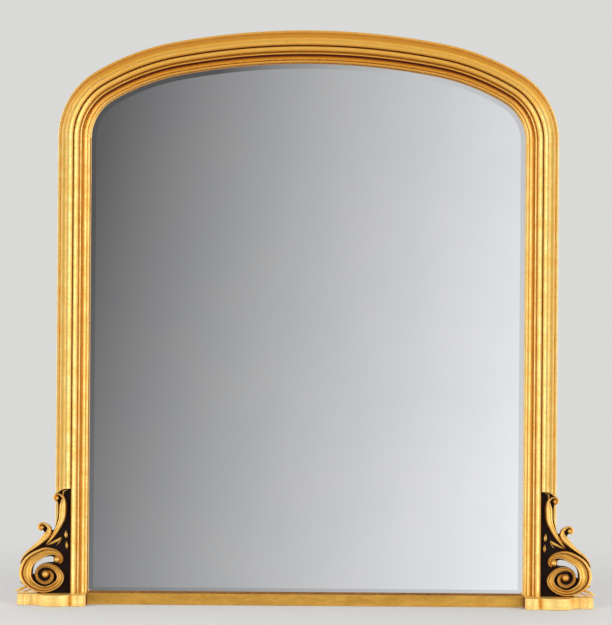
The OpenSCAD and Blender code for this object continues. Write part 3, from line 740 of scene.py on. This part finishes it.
SCROLL_KNOBS = [(21.5, 42.3, 9), (-4.2, 75, 8.6)]
STEM_KNOBS = [(-3, 210, 4.8), (29.6, 145, 5)]
GROUND_CURVE = [
    (-6, 172), (-4.2, 162), (-1.8, 153.5), (5, 138.5), (12, 141), (15, 148), (24, 151.5),
    (34, 150), (38.5, 145), (36.5, 140.5), (30, 139.5), (25, 133), (29, 121), (42, 108),
    (56, 96),
    (68, 85), (75.5, 70), (77, 48), (74, 32), (64, 17), (50, 8), (40, 3),
]
GROUND_TOP = [
    (-20, 231.5), (-9.5, 226), (-5, 221.8), (0, 220.4), (3, 218), (5.8, 214.5),
    (6.5, 210.5), (4.4, 205.8), (0, 203.2), (-4, 202.8), (-6, 194),
]
PIERCED = [
    (50.5, 40), (48.5, 58), (39, 70.5), (26.5, 77.5), (10, 81), (1.5, 76),
    (4, 68.5), (20, 66.5), (32, 62.5), (41.5, 54.5), (45, 43),
]
curve_steps = 4
carved_steps = 10

# Cross outlines, as (across the width, up the relief, how far sunk, which sets toning and painted
# shade).
SCROLL_SECTION = [
    (-0.50, 0.00, 0.85), (-0.50, 0.35, 0.60), (-0.485, 0.58, 0.25), (-0.44, 0.70, 0.02),
    (-0.39, 0.71, 0.05), (-0.33, 0.64, 0.25), (-0.25, 0.53, 0.34), (-0.15, 0.455, 0.36),
    (-0.05, 0.42, 0.36), (0.05, 0.42, 0.40), (0.13, 0.45, 0.52), (0.18, 0.50, 0.75),
    (0.21, 0.50, 0.98), (0.235, 0.58, 0.75), (0.25, 0.74, 0.35), (0.28, 0.88, 0.12),
    (0.325, 0.97, 0.0), (0.375, 1.0, 0.0), (0.425, 0.95, 0.0), (0.465, 0.83, 0.12),
    (0.49, 0.62, 0.32), (0.50, 0.35, 0.60), (0.50, 0.00, 0.85),
]
LEAF_SECTION = [
    (-0.50, 0.00, 0.85), (-0.49, 0.30, 0.55), (-0.46, 0.50, 0.22), (-0.40, 0.62, 0.05),
    (-0.33, 0.66, 0.10), (-0.26, 0.66, 0.45), (-0.22, 0.70, 0.62), (-0.18, 0.78, 0.30),
    (-0.08, 0.90, 0.08), (0.03, 0.98, 0.0), (0.14, 1.0, 0.0), (0.25, 0.94, 0.02),
    (0.35, 0.80, 0.10), (0.43, 0.60, 0.25), (0.48, 0.35, 0.50), (0.50, 0.00, 0.85),
]


def relief(width):
    """How far a band of this width stands up from its ground."""
    return min(relief_h, tip_h + (relief_h - tip_h) * width / full_relief_w)


def on_bracket(x, z, v):
    """A point of the right bracket from its drawing, v forwards from the frame's back."""
    return Vector((half_w + x * MM, back_y - v * MM, plinth_h + z * MM))


# Bands no wider than this, in mm, are toned and shaded half as much, and no band is thinner than
# this.
small_band_w = 10
least_band_w = 0.5


def carved_band(bm, rows, outline):
    """A carved band that follows rows of (x, z, width) with the given cross outline."""
    tone_and_shade = 1.0 if max(row[2] for row in rows) > small_band_w else 0.5
    path = smooth(rows, carved_steps)
    recess = recess_layer(bm)
    uv = bm.loops.layers.uv.verify()
    grid = bmesh.ops.create_grid(bm, x_segments=len(path) - 1, y_segments=len(outline) - 1,
                                 size=1)["verts"]
    faces = {face for vert in grid for face in vert.link_faces}
    foot = ground_back + ground_t
    for vert in grid:
        i = round((vert.co.x + 1) / 2 * (len(path) - 1))
        k = round((vert.co.y + 1) / 2 * (len(outline) - 1))
        x, z, width = path[i]
        width = max(width, least_band_w)
        ahead = path[min(i + 1, len(path) - 1)]
        behind = path[max(i - 1, 0)]
        way = Vector((ahead.x - behind.x, ahead.y - behind.y)).normalized()
        across, up, depth = outline[k]
        vert.co = on_bracket(x + way.y * across * width, z - way.x * across * width,
                             foot + up * relief(width))
        vert[recess] = depth * tone_and_shade
    for face in faces:
        for loop in face.loops:
            loop[uv].uv = (loop.vert.co.x, loop.vert.co.z)
    return grid


def boss(bm, spot):
    """A round carved boss, flattened where it stands on the ground."""
    x, z, radius = spot
    height = relief(2 * radius)
    recess = recess_layer(bm)
    ball = bmesh.ops.create_uvsphere(bm, u_segments=28, v_segments=18, radius=1)["verts"]
    for vert in ball:
        up = max(0.0, -vert.co.y)
        # painted shade darkens the boss towards its foot on the ground
        vert[recess] = 0.7 * (1 - up) ** 2
        vert.co = on_bracket(x + vert.co.x * radius, z + vert.co.z * radius,
                             ground_back + ground_t + max(0.0, -vert.co.y) * height)


def carving(name, node, side, bands, outlines, knobs):
    """One piece of carving: its bands, each with a cross outline, and its bosses."""
    bm = bmesh.new()
    for rows, outline in zip(bands, outlines):
        carved_band(bm, rows, outline)
    for spot in knobs:
        boss(bm, spot)
    bmesh.ops.remove_doubles(bm, verts=bm.verts, dist=1e-6)
    bmesh.ops.dissolve_degenerate(bm, dist=1e-6, edges=bm.edges)
    close_ends(bm)
    to_side(bm, side)
    return finished(name, bm, [CARVED_GILT], [node], crease=60)


def ground_line():
    """Outline of the ground board, over the part let into the stile and down the curves."""
    return [
        Vector((-ground_in, 0)), Vector((-ground_in, bracket_h)),
        *smooth(GROUND_TOP, curve_steps), *smooth(GROUND_CURVE, curve_steps),
        Vector((GROUND_CURVE[-1][0], 0)),
    ]


def plate(bm, lines, from_v, to_v):
    """A board of the outlines, the first outer and the rest pierced."""
    filled(bm, [[on_bracket(x, z, from_v) for x, z in line] for line in lines])
    thickened(bm, (0, (from_v - to_v) * MM, 0))


def bracket_ground(label, side):
    """The ground board, pierced, with leaf left on the middle of its eased front rims."""
    bm = bmesh.new()
    plate(bm, [ground_line(), smooth(PIERCED, curve_steps)], ground_back,
          ground_back + ground_t)
    edge = bm.verts.layers.float.new("edge")
    front = back_y - (ground_back + ground_t) * MM
    rims = [e for e in bm.edges if e.calc_face_angle(0) > 1.2
            and all(abs(v.co.y - front) < 1e-5 for v in e.verts)]
    made = bmesh.ops.bevel(bm, geom=rims, offset=1.2 * MM, segments=3, profile=0.5,
                           affect="EDGES", material=-1)
    for vert in made["verts"]:
        if 0.15 * MM < vert.co.y - front < 1.1 * MM:
            vert[edge] = 1.0
    to_side(bm, side)
    return finished(f"fret_ground_{label}", bm, [GROUND],
                    [f"bracket_ground_{label}"], crease=40)


def brackets():
    """On each side a ground board, the scroll with its foot leaves, and the leafage."""
    stems = [TALL_STEM, SHORT_STEM, UPPER_SPRIG, UPPER_HOOK, TOP_CURL, UPPER_HUSK, LOWER_HUSK]
    foot = [FOOT_LEAF, FOOT_LEAFLET, FOOT_UNDER]
    for label, side in SIDES.items():
        bracket_ground(label, side)
        carving(f"carved_scroll_{label}", f"bracket_scroll_{label}", side,
                [SCROLL_BAND, *foot], [SCROLL_SECTION] + [LEAF_SECTION] * 3, SCROLL_KNOBS)
        carving(f"carved_leafage_{label}", f"bracket_leafage_{label}", side,
                stems, [LEAF_SECTION] * len(stems), STEM_KNOBS)


# ---------------------------------------------------------------- stiles and plinth

def cut_by(piece, cutter):
    """Takes the cutter's solid out of a piece and throws the cutter away."""
    change = piece.modifiers.new("cut", "BOOLEAN")
    change.operation = "DIFFERENCE"
    change.solver = "EXACT"
    change.object = cutter
    seen = piece.evaluated_get(bpy.context.evaluated_depsgraph_get())
    mesh = bpy.data.meshes.new_from_object(seen)
    piece.modifiers.clear()
    piece.data = mesh
    bpy.data.objects.remove(cutter)


def loose(bm, name, finishes=()):
    """A bmesh made an object for a while, to cut or to be cut."""
    piece = as_object(bm, name, finishes)
    bpy.context.view_layer.update()
    return piece


def ground_cutter(side):
    """The room that the ground board takes out of the foot of a stile."""
    bm = bmesh.new()
    plate(bm, [ground_line()], ground_back, ground_back + torus_d)
    to_side(bm, side)
    bmesh.ops.recalc_face_normals(bm, faces=bm.faces)
    return loose(bm, "ground_room", [GROUND])


def stile(label, side):
    """A straight run of moulding with the ground board's room cut out of its foot."""
    bm = bmesh.new()
    wire = section_at(bm, lambda u, v: (half_w - u, back_y - v, plinth_h))
    drawn_out(bm, edges_in(wire), (0, 0, spring_z - plinth_h), 40)
    dress_run(bm, lambda co: stile_run + spring_z - co.z)
    to_side(bm, side)
    piece = finished(f"stile_moulding_{label}", bm, [FACE_GILT, OCHRE, PINE],
                     [f"stile_{label}"])
    cut_by(piece, ground_cutter(side))
    mend_recess(piece.data, STILE_LIP_SHADE[label])
    return piece


# A point of a cut stile that is further from the section than this lies in the cut.
cut_slack = 0.6


def mend_recess(mesh, lip):
    """Marks again how far each point of a cut stile is sunk in its section."""
    values = mesh.attributes["recess"].data
    flanks = mesh.attributes["flank"].data
    for vert in mesh.vertices:
        u = (half_w - abs(vert.co.x)) / MM
        v = (back_y - vert.co.y) / MM
        near = min(range(len(SECTION)), key=lambda i: (SECTION[i] - Vector((u, v))).length)
        off = (SECTION[near] - Vector((u, v))).length
        # the lip's painted shade is set for each stile
        depth = lip if SUNK[near] == LIP_TONE_AND_SHADE else SUNK[near]
        on_face = off < cut_slack
        values[vert.index].value = depth if on_face else CUT_TONE
        flanks[vert.index].value = FLANK[near] if on_face else 0.0


def extruded_rail():
    """The plinth rail, with its groove for the foot of the glass."""
    groove_front = back_y - lip_v * MM
    groove_back = back_y + 0.5 * MM
    under = (rail_low.y + 10 * MM, 0)
    line = eased([
        under, (rail_low.y, 0, 1.0 * MM), (rail_low.y, plinth_h, 1.6 * MM),
        (groove_front, plinth_h, 0.4 * MM), (groove_front, groove_z), (groove_back, groove_z),
        (groove_back, plinth_h), (wall_y, plinth_h, 0.5 * MM), (wall_y, 0, 0.5 * MM), under,
    ])[:-1]
    bm = bmesh.new()
    edges = loop_of(bm, [(-block_in_x, y, z) for y, z in line])
    drawn_out(bm, edges, (2 * block_in_x, 0, 0), 60)
    close_ends(bm)
    dress_plinth(bm, rail_low.y, RAIL_TOP_DUST_AND_SHADE)
    finished("gilded_rail", bm, [RAIL_GILT, PINE_FLAT], ["plinth_rail"])


def dress_plinth(bm, front, top_dust_and_shade):
    """Dust and painted shade on the top, bare wood below and behind."""
    recess = recess_layer(bm)
    for vert in bm.verts:
        flat_top = vert.co.z > plinth_h - 0.2 * MM and vert.co.y > front + 1.4 * MM
        vert[recess] = top_dust_and_shade if flat_top else 0.0
    for face in bm.faces:
        face.normal_update()
        face.material_index = 1 if face.normal.z < -0.7 or face.normal.y > 0.7 else 0


bump_r = 17 * MM
bump_back = 4 * MM
swell_r = 42 * MM
swell_at = 68 * MM
block_d = 54 * MM
hollow_r = 17 * MM
lobe_r = 13.5 * MM
lobe_d = 60 * MM


def block_line():
    """Plan of the right plinth block, from its inner back corner along the front."""
    inner = block_in_x
    bump_c = Vector((inner + bump_r, block_front_y + bump_back + bump_r))
    swell_c = Vector((inner + swell_at, block_front_y + swell_r))
    flat_y = wall_y - block_d
    reach = swell_r + hollow_r
    fall = math.asin((swell_c.y - flat_y + hollow_r) / reach)
    hollow_c = swell_c + reach * Vector((math.cos(fall), -math.sin(fall)))
    lobe_c = Vector((plinth_end_x - lobe_r, wall_y - lobe_d + lobe_r))
    fall = math.degrees(fall)
    valley = inner + 2 * bump_r - 0.4 * MM
    start = math.degrees(math.acos((valley - swell_c.x) / swell_r))
    return eased([
        (inner, wall_y), (inner, bump_c.y),
        *arc(*bump_c, bump_r, 180, 344, 24),
        (valley, swell_c.y - swell_r * math.sin(math.radians(start)), 3 * MM),
        *arc(*swell_c, swell_r, 4 - start, -fall, 26),
        *arc(*hollow_c, hollow_r, 180 - fall - 4, 90, 10),
        (lobe_c.x - lobe_r, flat_y, 6 * MM),
        *arc(*lobe_c, lobe_r, 218, 360, 20),
        (plinth_end_x, wall_y), (inner, wall_y),
    ], 4)


# Darkening of the plinth: dust and painted shade on its tops, painted shade in its two valleys
# and on the side towards the rail.
BLOCK_TOP_TONE = 0.1
RAIL_TOP_DUST_AND_SHADE = 0.54
VALLEY_SHADE = 0.3
INNER_SIDE_SHADE = 0.8
front_part = 30 * MM


def plinth_block(label, side):
    """A block with a serpentine front, its valleys darkened as painted shade."""
    bm = bmesh.new()
    recess = recess_layer(bm)
    edges = loop_of(bm, [(x, y, 0) for x, y in block_line()[:-1]])
    bmesh.ops.contextual_create(bm, geom=edges)
    thickened(bm, (0, 0, plinth_h))
    rims = [e for e in bm.edges if abs(e.verts[0].co.z - e.verts[1].co.z) < 1e-6]
    bmesh.ops.bevel(bm, geom=rims, offset=1.3 * MM, segments=3, profile=0.5, affect="EDGES",
                    material=-1)
    dress_plinth(bm, block_front_y, BLOCK_TOP_TONE)
    valleys = ((block_in_x + 2 * bump_r, 8 * MM), (plinth_end_x - 2 * lobe_r - 7 * MM, 12 * MM))
    for vert in bm.verts:
        for valley, reach in valleys:
            near = abs(vert.co.x - valley) / reach
            if near < 1 and vert.co.y < wall_y - front_part:
                vert[recess] = max(vert[recess], VALLEY_SHADE * (1 - near ** 2))
        if vert.co.x < block_in_x + 0.1 * MM:
            vert[recess] = max(vert[recess], INNER_SIDE_SHADE)
    to_side(bm, side)
    finished(f"gilded_block_{label}", bm, [BLOCK_GILT, PINE_FLAT],
             [f"plinth_block_{label}"])


# ---------------------------------------------------------------- glass

def arch_line(inset, bottom):
    """The arch moved inwards from the frame's outer edge, closed along the bottom."""
    half = [along(crown_c, crown_r - inset, crown_half * k / 20) for k in range(20)]
    half += [along(haunch_c, haunch_r - inset, crown_half + (haunch_end - crown_half) * k / 16)
             for k in range(16)]
    half += [along(shoulder_c, shoulder_r - inset, haunch_end + (math.pi / 2 - haunch_end)
                   * k / 28) for k in range(29)]
    half.append(Vector((half_w - inset, bottom)))
    return half + [Vector((-p.x, p.y)) for p in reversed(half[1:])]


def mirror_glass():
    """Bevelled glass: a flat front, the bevel ground round it, and its edges."""
    bm = bmesh.new()
    inset = (face_w - lap) * MM
    bottom = plinth_h - lap * MM
    bevel = bevel_w * MM
    rings = [
        (inset, bottom, glass_v), (inset, bottom, glass_v + glass_edge_t),
        (inset + bevel, bottom + bevel, glass_v + glass_t),
        (inset + bevel + 0.7 * MM, bottom + bevel + 0.7 * MM, glass_v + glass_t),
    ]
    drawn(bm, [[(x, back_y - v * MM, z) for x, z in arch_line(moved, low)]
               for moved, low, v in rings])
    close_ends(bm)
    finished("bevelled_glass", bm, [GLASS], ["mirror_glass"], crease=5)


# ---------------------------------------------------------------- back fittings

button_t = 1.5
button_w = 12
button_gap = 0.1
button_u = 48
button_arm = 8
button_reach = 30
button_low_z = 330 * MM
button_high_z = 760 * MM
small_screw_d = 3.8
small_screw_len = 17
small_head_d = 7.6
small_head_h = 2
hanger_z = spring_z - 100 * MM
hanger_x = half_w - 22 * MM
strap_w = 14
strap_len = 52
wire_r = 1.5
ring_r = 13
strap_t = 1
fit = 0.05
barrel_r = 2.65
ring_y = back_y + (barrel_r + fit) * MM
strap_screw_drops = (45, 28)
middle = (crown_half + haunch_end) / 2
# Centre of the arc, its radius and the angle from upright at each turn button.
BUTTON_SPOTS = [
    (Vector((0, button_low_z)), half_w, -math.pi / 2),
    (Vector((0, button_low_z)), half_w, math.pi / 2),
    (Vector((0, button_high_z)), half_w, -math.pi / 2),
    (Vector((0, button_high_z)), half_w, math.pi / 2),
    (Vector((-haunch_c.x, haunch_c.y)), haunch_r, -middle), (haunch_c, haunch_r, middle),
    (crown_c, crown_r, -crown_half / 2), (crown_c, crown_r, crown_half / 2),
]


def at_button(spot):
    """Places a button: local z points out of the frame, y to the wall."""
    centre, radius, angle = spot
    x, z = along(centre, radius - button_u * MM, angle)
    return Matrix.Translation((x, back_y, z)) @ Matrix.Rotation(angle, 4, "Y")


def pressed(bm, lines, low_y, high_y, ease):
    """A flat pressed plate of the (x, z) outlines in mm, with eased rims."""
    filled(bm, [[(x * MM, low_y * MM, z * MM) for x, z in line] for line in lines])
    thickened(bm, (0, (high_y - low_y) * MM, 0))
    rims = [e for e in bm.edges if e.calc_face_angle(0) > 1.2
            and abs(e.verts[0].co.y - e.verts[1].co.y) < 1e-6]
    bmesh.ops.bevel(bm, geom=rims, offset=ease * MM, segments=2, profile=0.5, affect="EDGES",
                    material=-1)


def turn_button(number):
    """A flat plate with round ends that turns on its screw."""
    bm = bmesh.new()
    end_r = button_w / 2
    capsule = arc(0, button_arm - end_r, end_r, 0, 180, 18)
    capsule += arc(0, end_r - button_reach, end_r, 180, 360, 18)
    hole = arc(0, 0, small_screw_d / 2 + fit, 0, 360, 28)[:-1]
    pressed(bm, [capsule, hole], button_gap, button_gap + button_t, 0.3)
    bmesh.ops.transform(bm, matrix=at_button(BUTTON_SPOTS[number - 1]), verts=bm.verts)
    finished(f"turn_button_plate_{number}", bm, [BRASS], [f"turn_button_{number}"],
             f"turn_button_{number}")


def pan_screw():
    """A pan-head screw with a crossed slot; its head stands towards the wall."""
    shank = small_screw_d / 2
    head = small_head_d / 2
    line = eased([
        (0, -small_screw_len), (0.5, -small_screw_len), (shank, -small_screw_len + 3.5, 0.6),
        (shank, 0), (head, 0, 0.2), (head, 0.7, 0.4), (head * 0.82, small_head_h * 0.82, 1.0),
        (head * 0.4, small_head_h, 0.6), (0, small_head_h),
    ])
    bm = bmesh.new()
    verts = [bm.verts.new((r * MM, y * MM, 0)) for r, y in line]
    edges = [bm.edges.new(pair) for pair in zip(verts, verts[1:])]
    bmesh.ops.spin(bm, geom=verts + edges, cent=(0, 0, 0), axis=(0, 1, 0),
                   angle=2 * math.pi, steps=28, use_merge=True)
    bmesh.ops.remove_doubles(bm, verts=bm.verts, dist=1e-6)
    bmesh.ops.recalc_face_normals(bm, faces=bm.faces)
    screw = loose(bm, "pan_screw")
    for long, short in ((head, 1.0), (1.0, head)):
        bm = bmesh.new()
        bmesh.ops.create_cube(bm, size=1)
        bmesh.ops.scale(bm, vec=(long * MM, 2 * MM, short * MM), verts=bm.verts)
        bmesh.ops.translate(bm, vec=(0, (small_head_h + 0.2) * MM, 0), verts=bm.verts)
        cut_by(screw, loose(bm, "slot"))
    mesh = screw.data
    bpy.data.objects.remove(screw)
    return mesh


def small_screws(name, node, mesh, places):
    """All screws of one kind as one piece."""
    bm = bmesh.new()
    for place in places:
        before = set(bm.verts)
        bm.from_mesh(mesh)
        bmesh.ops.transform(bm, matrix=place, verts=[v for v in bm.verts if v not in before])
    finished(name, bm, [ZINC], [node])


def strap_hanger(label, side):
    """A strap folded round the bar of its ring, its corners rounded, with two holes."""
    bm = bmesh.new()
    bar_d = barrel_r + fit
    outer = arc(bar_d, 0, barrel_r, 180, -84, 30)
    inner = arc(bar_d, 0, wire_r + fit, -84, 168, 26)
    profile = [(fit, -strap_len), *outer, *inner, (fit + strap_t, -2.2),
               (fit + strap_t, -strap_len)]
    points = [(-strap_w / 2 * MM, back_y + y * MM, hanger_z + z * MM) for y, z in profile]
    bmesh.ops.contextual_create(bm, geom=loop_of(bm, points))
    thickened(bm, (strap_w * MM, 0, 0))
    # The fold round the bar is 2 mm narrower than the strap.
    for vert in bm.verts:
        if vert.co.z > hanger_z - 3 * MM:
            vert.co.x *= 1 - 2 / strap_w
    corners = [e for e in bm.edges if all(v.co.z < hanger_z - (strap_len - 1) * MM
               for v in e.verts) and abs(e.verts[0].co.x - e.verts[1].co.x) < 1e-6]
    bmesh.ops.bevel(bm, geom=corners, offset=3 * MM, segments=5, profile=0.5, affect="EDGES",
                    material=-1)
    bmesh.ops.translate(bm, vec=(hanger_x, 0, 0), verts=bm.verts)
    to_side(bm, side)
    piece = finished(f"folded_strap_{label}", bm, [BRASS], [f"hanger_strap_{label}"])
    for drop in strap_screw_drops:
        bm = bmesh.new()
        bmesh.ops.create_cone(bm, cap_ends=True, segments=28, radius1=small_screw_d / 2 * MM,
                              radius2=small_screw_d / 2 * MM, depth=8 * MM)
        bmesh.ops.rotate(bm, matrix=Matrix.Rotation(math.pi / 2, 3, "X"), verts=bm.verts)
        bmesh.ops.translate(bm, vec=(side * hanger_x, back_y, hanger_z - drop * MM),
                            verts=bm.verts)
        cut_by(piece, loose(bm, "drill"))


def hanger_ring(label, side):
    """A D-shaped ring of bent wire that hangs from its straight bar."""
    bend = 3.2
    way = eased([(0, 0), (ring_r, 0, bend), *arc(0, 0, ring_r, -14, -166, 40),
                 (-ring_r, 0, bend), (0, 0)], 8)[:-1]
    rings = []
    for i, here in enumerate(way):
        along_way = (way[(i + 1) % len(way)] - way[i - 1]).normalized()
        out = Vector((along_way.y, -along_way.x))
        turns = [2 * math.pi * k / 16 for k in range(16)]
        rings.append([(
            side * hanger_x + (here.x + out.x * wire_r * math.cos(a)) * MM,
            ring_y + wire_r * math.sin(a) * MM,
            hanger_z + (here.y + out.y * wire_r * math.cos(a)) * MM) for a in turns])
    bm = bmesh.new()
    drawn(bm, rings + rings[:1])
    bmesh.ops.remove_doubles(bm, verts=bm.verts, dist=1e-6)
    finished(f"wire_ring_{label}", bm, [ZINC], [f"hanger_ring_{label}"],
             f"hanger_ring_{label}")


def back_board():
    """The board that closes the back, its rims slightly eased."""
    inset = (face_w - rebate_w + 0.5) * MM
    bottom = groove_z + 0.3 * MM
    ease = 0.4
    rings = [(ease * MM, 0), (0, ease), (0, board_t - ease), (ease * MM, board_t)]
    bm = bmesh.new()
    drawn(bm, [[(x, back_y - v * MM, z) for x, z in arch_line(inset + moved, bottom + moved)]
               for moved, v in rings])
    close_ends(bm)
    finished("hardboard_back", bm, [HARDBOARD], ["back_board"])


def back_fittings():
    """The back board with its turn buttons, and the two hangers, all with their screws."""
    back_board()
    for number in range(1, 9):
        turn_button(number)
    mesh = pan_screw()
    small_screws("button_screws", "turn_button_screws", mesh, [
        at_button(spot) @ Matrix.Translation((0, (2 * button_gap + button_t) * MM, 0))
        for spot in BUTTON_SPOTS])
    small_screws("strap_screws", "hanger_screws", mesh, [
        Matrix.Translation((side * hanger_x, back_y + strap_t * MM, hanger_z - drop * MM))
        for side in (-1, 1) for drop in strap_screw_drops])
    for label, side in SIDES.items():
        strap_hanger(label, side)
        hanger_ring(label, side)


# ---------------------------------------------------------------- stage

def floor():
    """A pale floor that fades out round the object and keeps its shadow."""
    bm = bmesh.new()
    bmesh.ops.create_circle(bm, cap_ends=True, segments=96, radius=3.2)
    f = Finish("pale_floor")
    reach = f.node("VectorMath", out="Value", settings={"operation": "LENGTH"},
                   Vector=f.place((1, 1, 1)))
    fade = f.work("MAXIMUM", f.span(reach, 0.75, 1.9), f.node("LightPath", out="Is Glossy Ray"))
    f.surface(Base_Color=(0.70, 0.70, 0.69), Roughness=0.9, Specular_IOR_Level=0.1)
    clear = f.node("BsdfTransparent")
    mixed = f.tree.nodes.new("ShaderNodeMixShader")
    f.join(fade, mixed.inputs[0])
    f.join(f.skin.outputs[0], mixed.inputs[1])
    f.join(clear, mixed.inputs[2])
    f.join(mixed.outputs[0], f.tree.nodes["Material Output"].inputs[0])
    as_object(bm, "floor", [f.material])


# Levels: the backdrop, the walls of the room and the two upright strips of light.
PALE = 0.70
WALLS = 1.12
STRIP = 1.75
# What the glass shows: a level in the middle, its change to the right and upwards, how far
# to each side it goes on changing, and the darkest and the dimmed level of its left edge.
SHADE_MIDDLE = 0.584
SHADE_ACROSS = 4.61
SHADE_UP = -0.92
SHADE_REACH = (0.087, 0.1)
SHADE_DARKEST = -0.44
BEVEL_DIM = 0.78


def studio():
    """Pale room; the side behind the camera shades from dark to light across the glass."""
    world = bpy.data.worlds.new("studio")
    bpy.context.scene.world = world
    world.use_nodes = True
    tree = world.node_tree
    f = Layers(tree)
    direction = f.node("TexCoord", out="Generated")
    x, y, z = (f.node("SeparateXYZ", out=k, Vector=direction) for k in range(3))
    side_on = f.work("ABSOLUTE", x)
    level_on = f.work("ABSOLUTE", z)
    across, level = (f.work("MINIMUM", f.work("MAXIMUM", way, -reach), reach)
                     for way, reach in zip((x, z), SHADE_REACH))
    slant = f.work("ADD", f.work("MULTIPLY", across, SHADE_ACROSS),
                   f.work("MULTIPLY", level, SHADE_UP))
    slant = f.work("ADD", f.work("MAXIMUM", slant, SHADE_DARKEST), SHADE_MIDDLE)
    off_axis = f.work("MAXIMUM", side_on, level_on)
    shade = f.work("MULTIPLY", slant, f.span(off_axis, 0.13, 0.2, 1.0, BEVEL_DIM))
    ahead = f.span(y, -0.75, -0.6, 1.0, 0.0)
    facing = f.work("MULTIPLY", f.span(off_axis, 0.42, 0.50, 1.0, 0.0), ahead)
    strip = f.work("MULTIPLY", f.span(side_on, 0.42, 0.52), f.span(side_on, 0.66, 0.84, 1.0, 0.0))
    strip = f.work("MULTIPLY", strip, f.span(level_on, 0.2, 0.6, STRIP, 0.0))
    strip = f.work("MULTIPLY", strip, f.span(y, -0.3, 0.0, 1.0, 0.0))
    walls = f.work("ADD", f.span(level_on, 0.4, 0.95, WALLS, 0.6 * WALLS), strip)
    room = f.tint(facing, f.tint(walls, (0, 0, 0), (1, 1, 1)),
                  f.tint(shade, (0, 0, 0), (1, 1, 1.01)))
    seen = f.node("LightPath", out="Is Camera Ray")
    colour = f.tint(seen, room, (PALE, PALE * 0.998, PALE * 0.985))
    background = tree.nodes["Background"]
    f.join(colour, background.inputs["Color"])
    background.inputs["Strength"].default_value = 1.0


def lamp(name, place, target, size, power):
    """A rectangular lamp turned to its target, not seen in shiny surfaces."""
    data = bpy.data.lights.new(name, "AREA")
    data.shape = "RECTANGLE"
    data.size = size[0]
    data.size_y = size[1]
    data.energy = power
    light = bpy.data.objects.new(name, data)
    light.visible_glossy = False
    light.location = place
    light.rotation_euler = (Vector(target) - Vector(place)).to_track_quat("-Z", "Y").to_euler()
    bpy.context.scene.collection.objects.link(light)


def lamps():
    """Two soft lamps in front, one to each side."""
    for label, side in SIDES.items():
        lamp(f"front_lamp_{label}", (side * 1.9, -2.4, 1.1), (0, 0, 0.6), (1.2, 1.8), 28)


camera_place = (-0.003, -5.5, 0.648)
camera_lens = 143.7
camera_roll = math.radians(-0.42)


def camera():
    """Square on, at half height, with the slight roll of the photograph."""
    data = bpy.data.cameras.new("camera")
    data.sensor_width = 36
    data.lens = camera_lens
    view = bpy.data.objects.new("camera", data)
    view.location = camera_place
    view.rotation_euler = (math.pi / 2, camera_roll, 0)
    bpy.context.scene.collection.objects.link(view)
    bpy.context.scene.camera = view
    bpy.context.scene.view_settings.view_transform = "Standard"


# ---------------------------------------------------------------- all together

arched_frame()
for label, side in SIDES.items():
    stile(label, side)
    plinth_block(label, side)
extruded_rail()
brackets()
mirror_glass()
back_fittings()
inner_pieces = {
    "frame_dowels": BEECH, "plinth_dowels": BEECH, "stile_screws": ZINC, "bracket_screws": ZINC,
    "setting_pads": RUBBER, "cushion_sheet": CARD,
}
for node, finish in inner_pieces.items():
    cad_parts[node].data.materials.clear()
    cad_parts[node].data.materials.append(finish)

floor()
studio()
lamps()
camera()
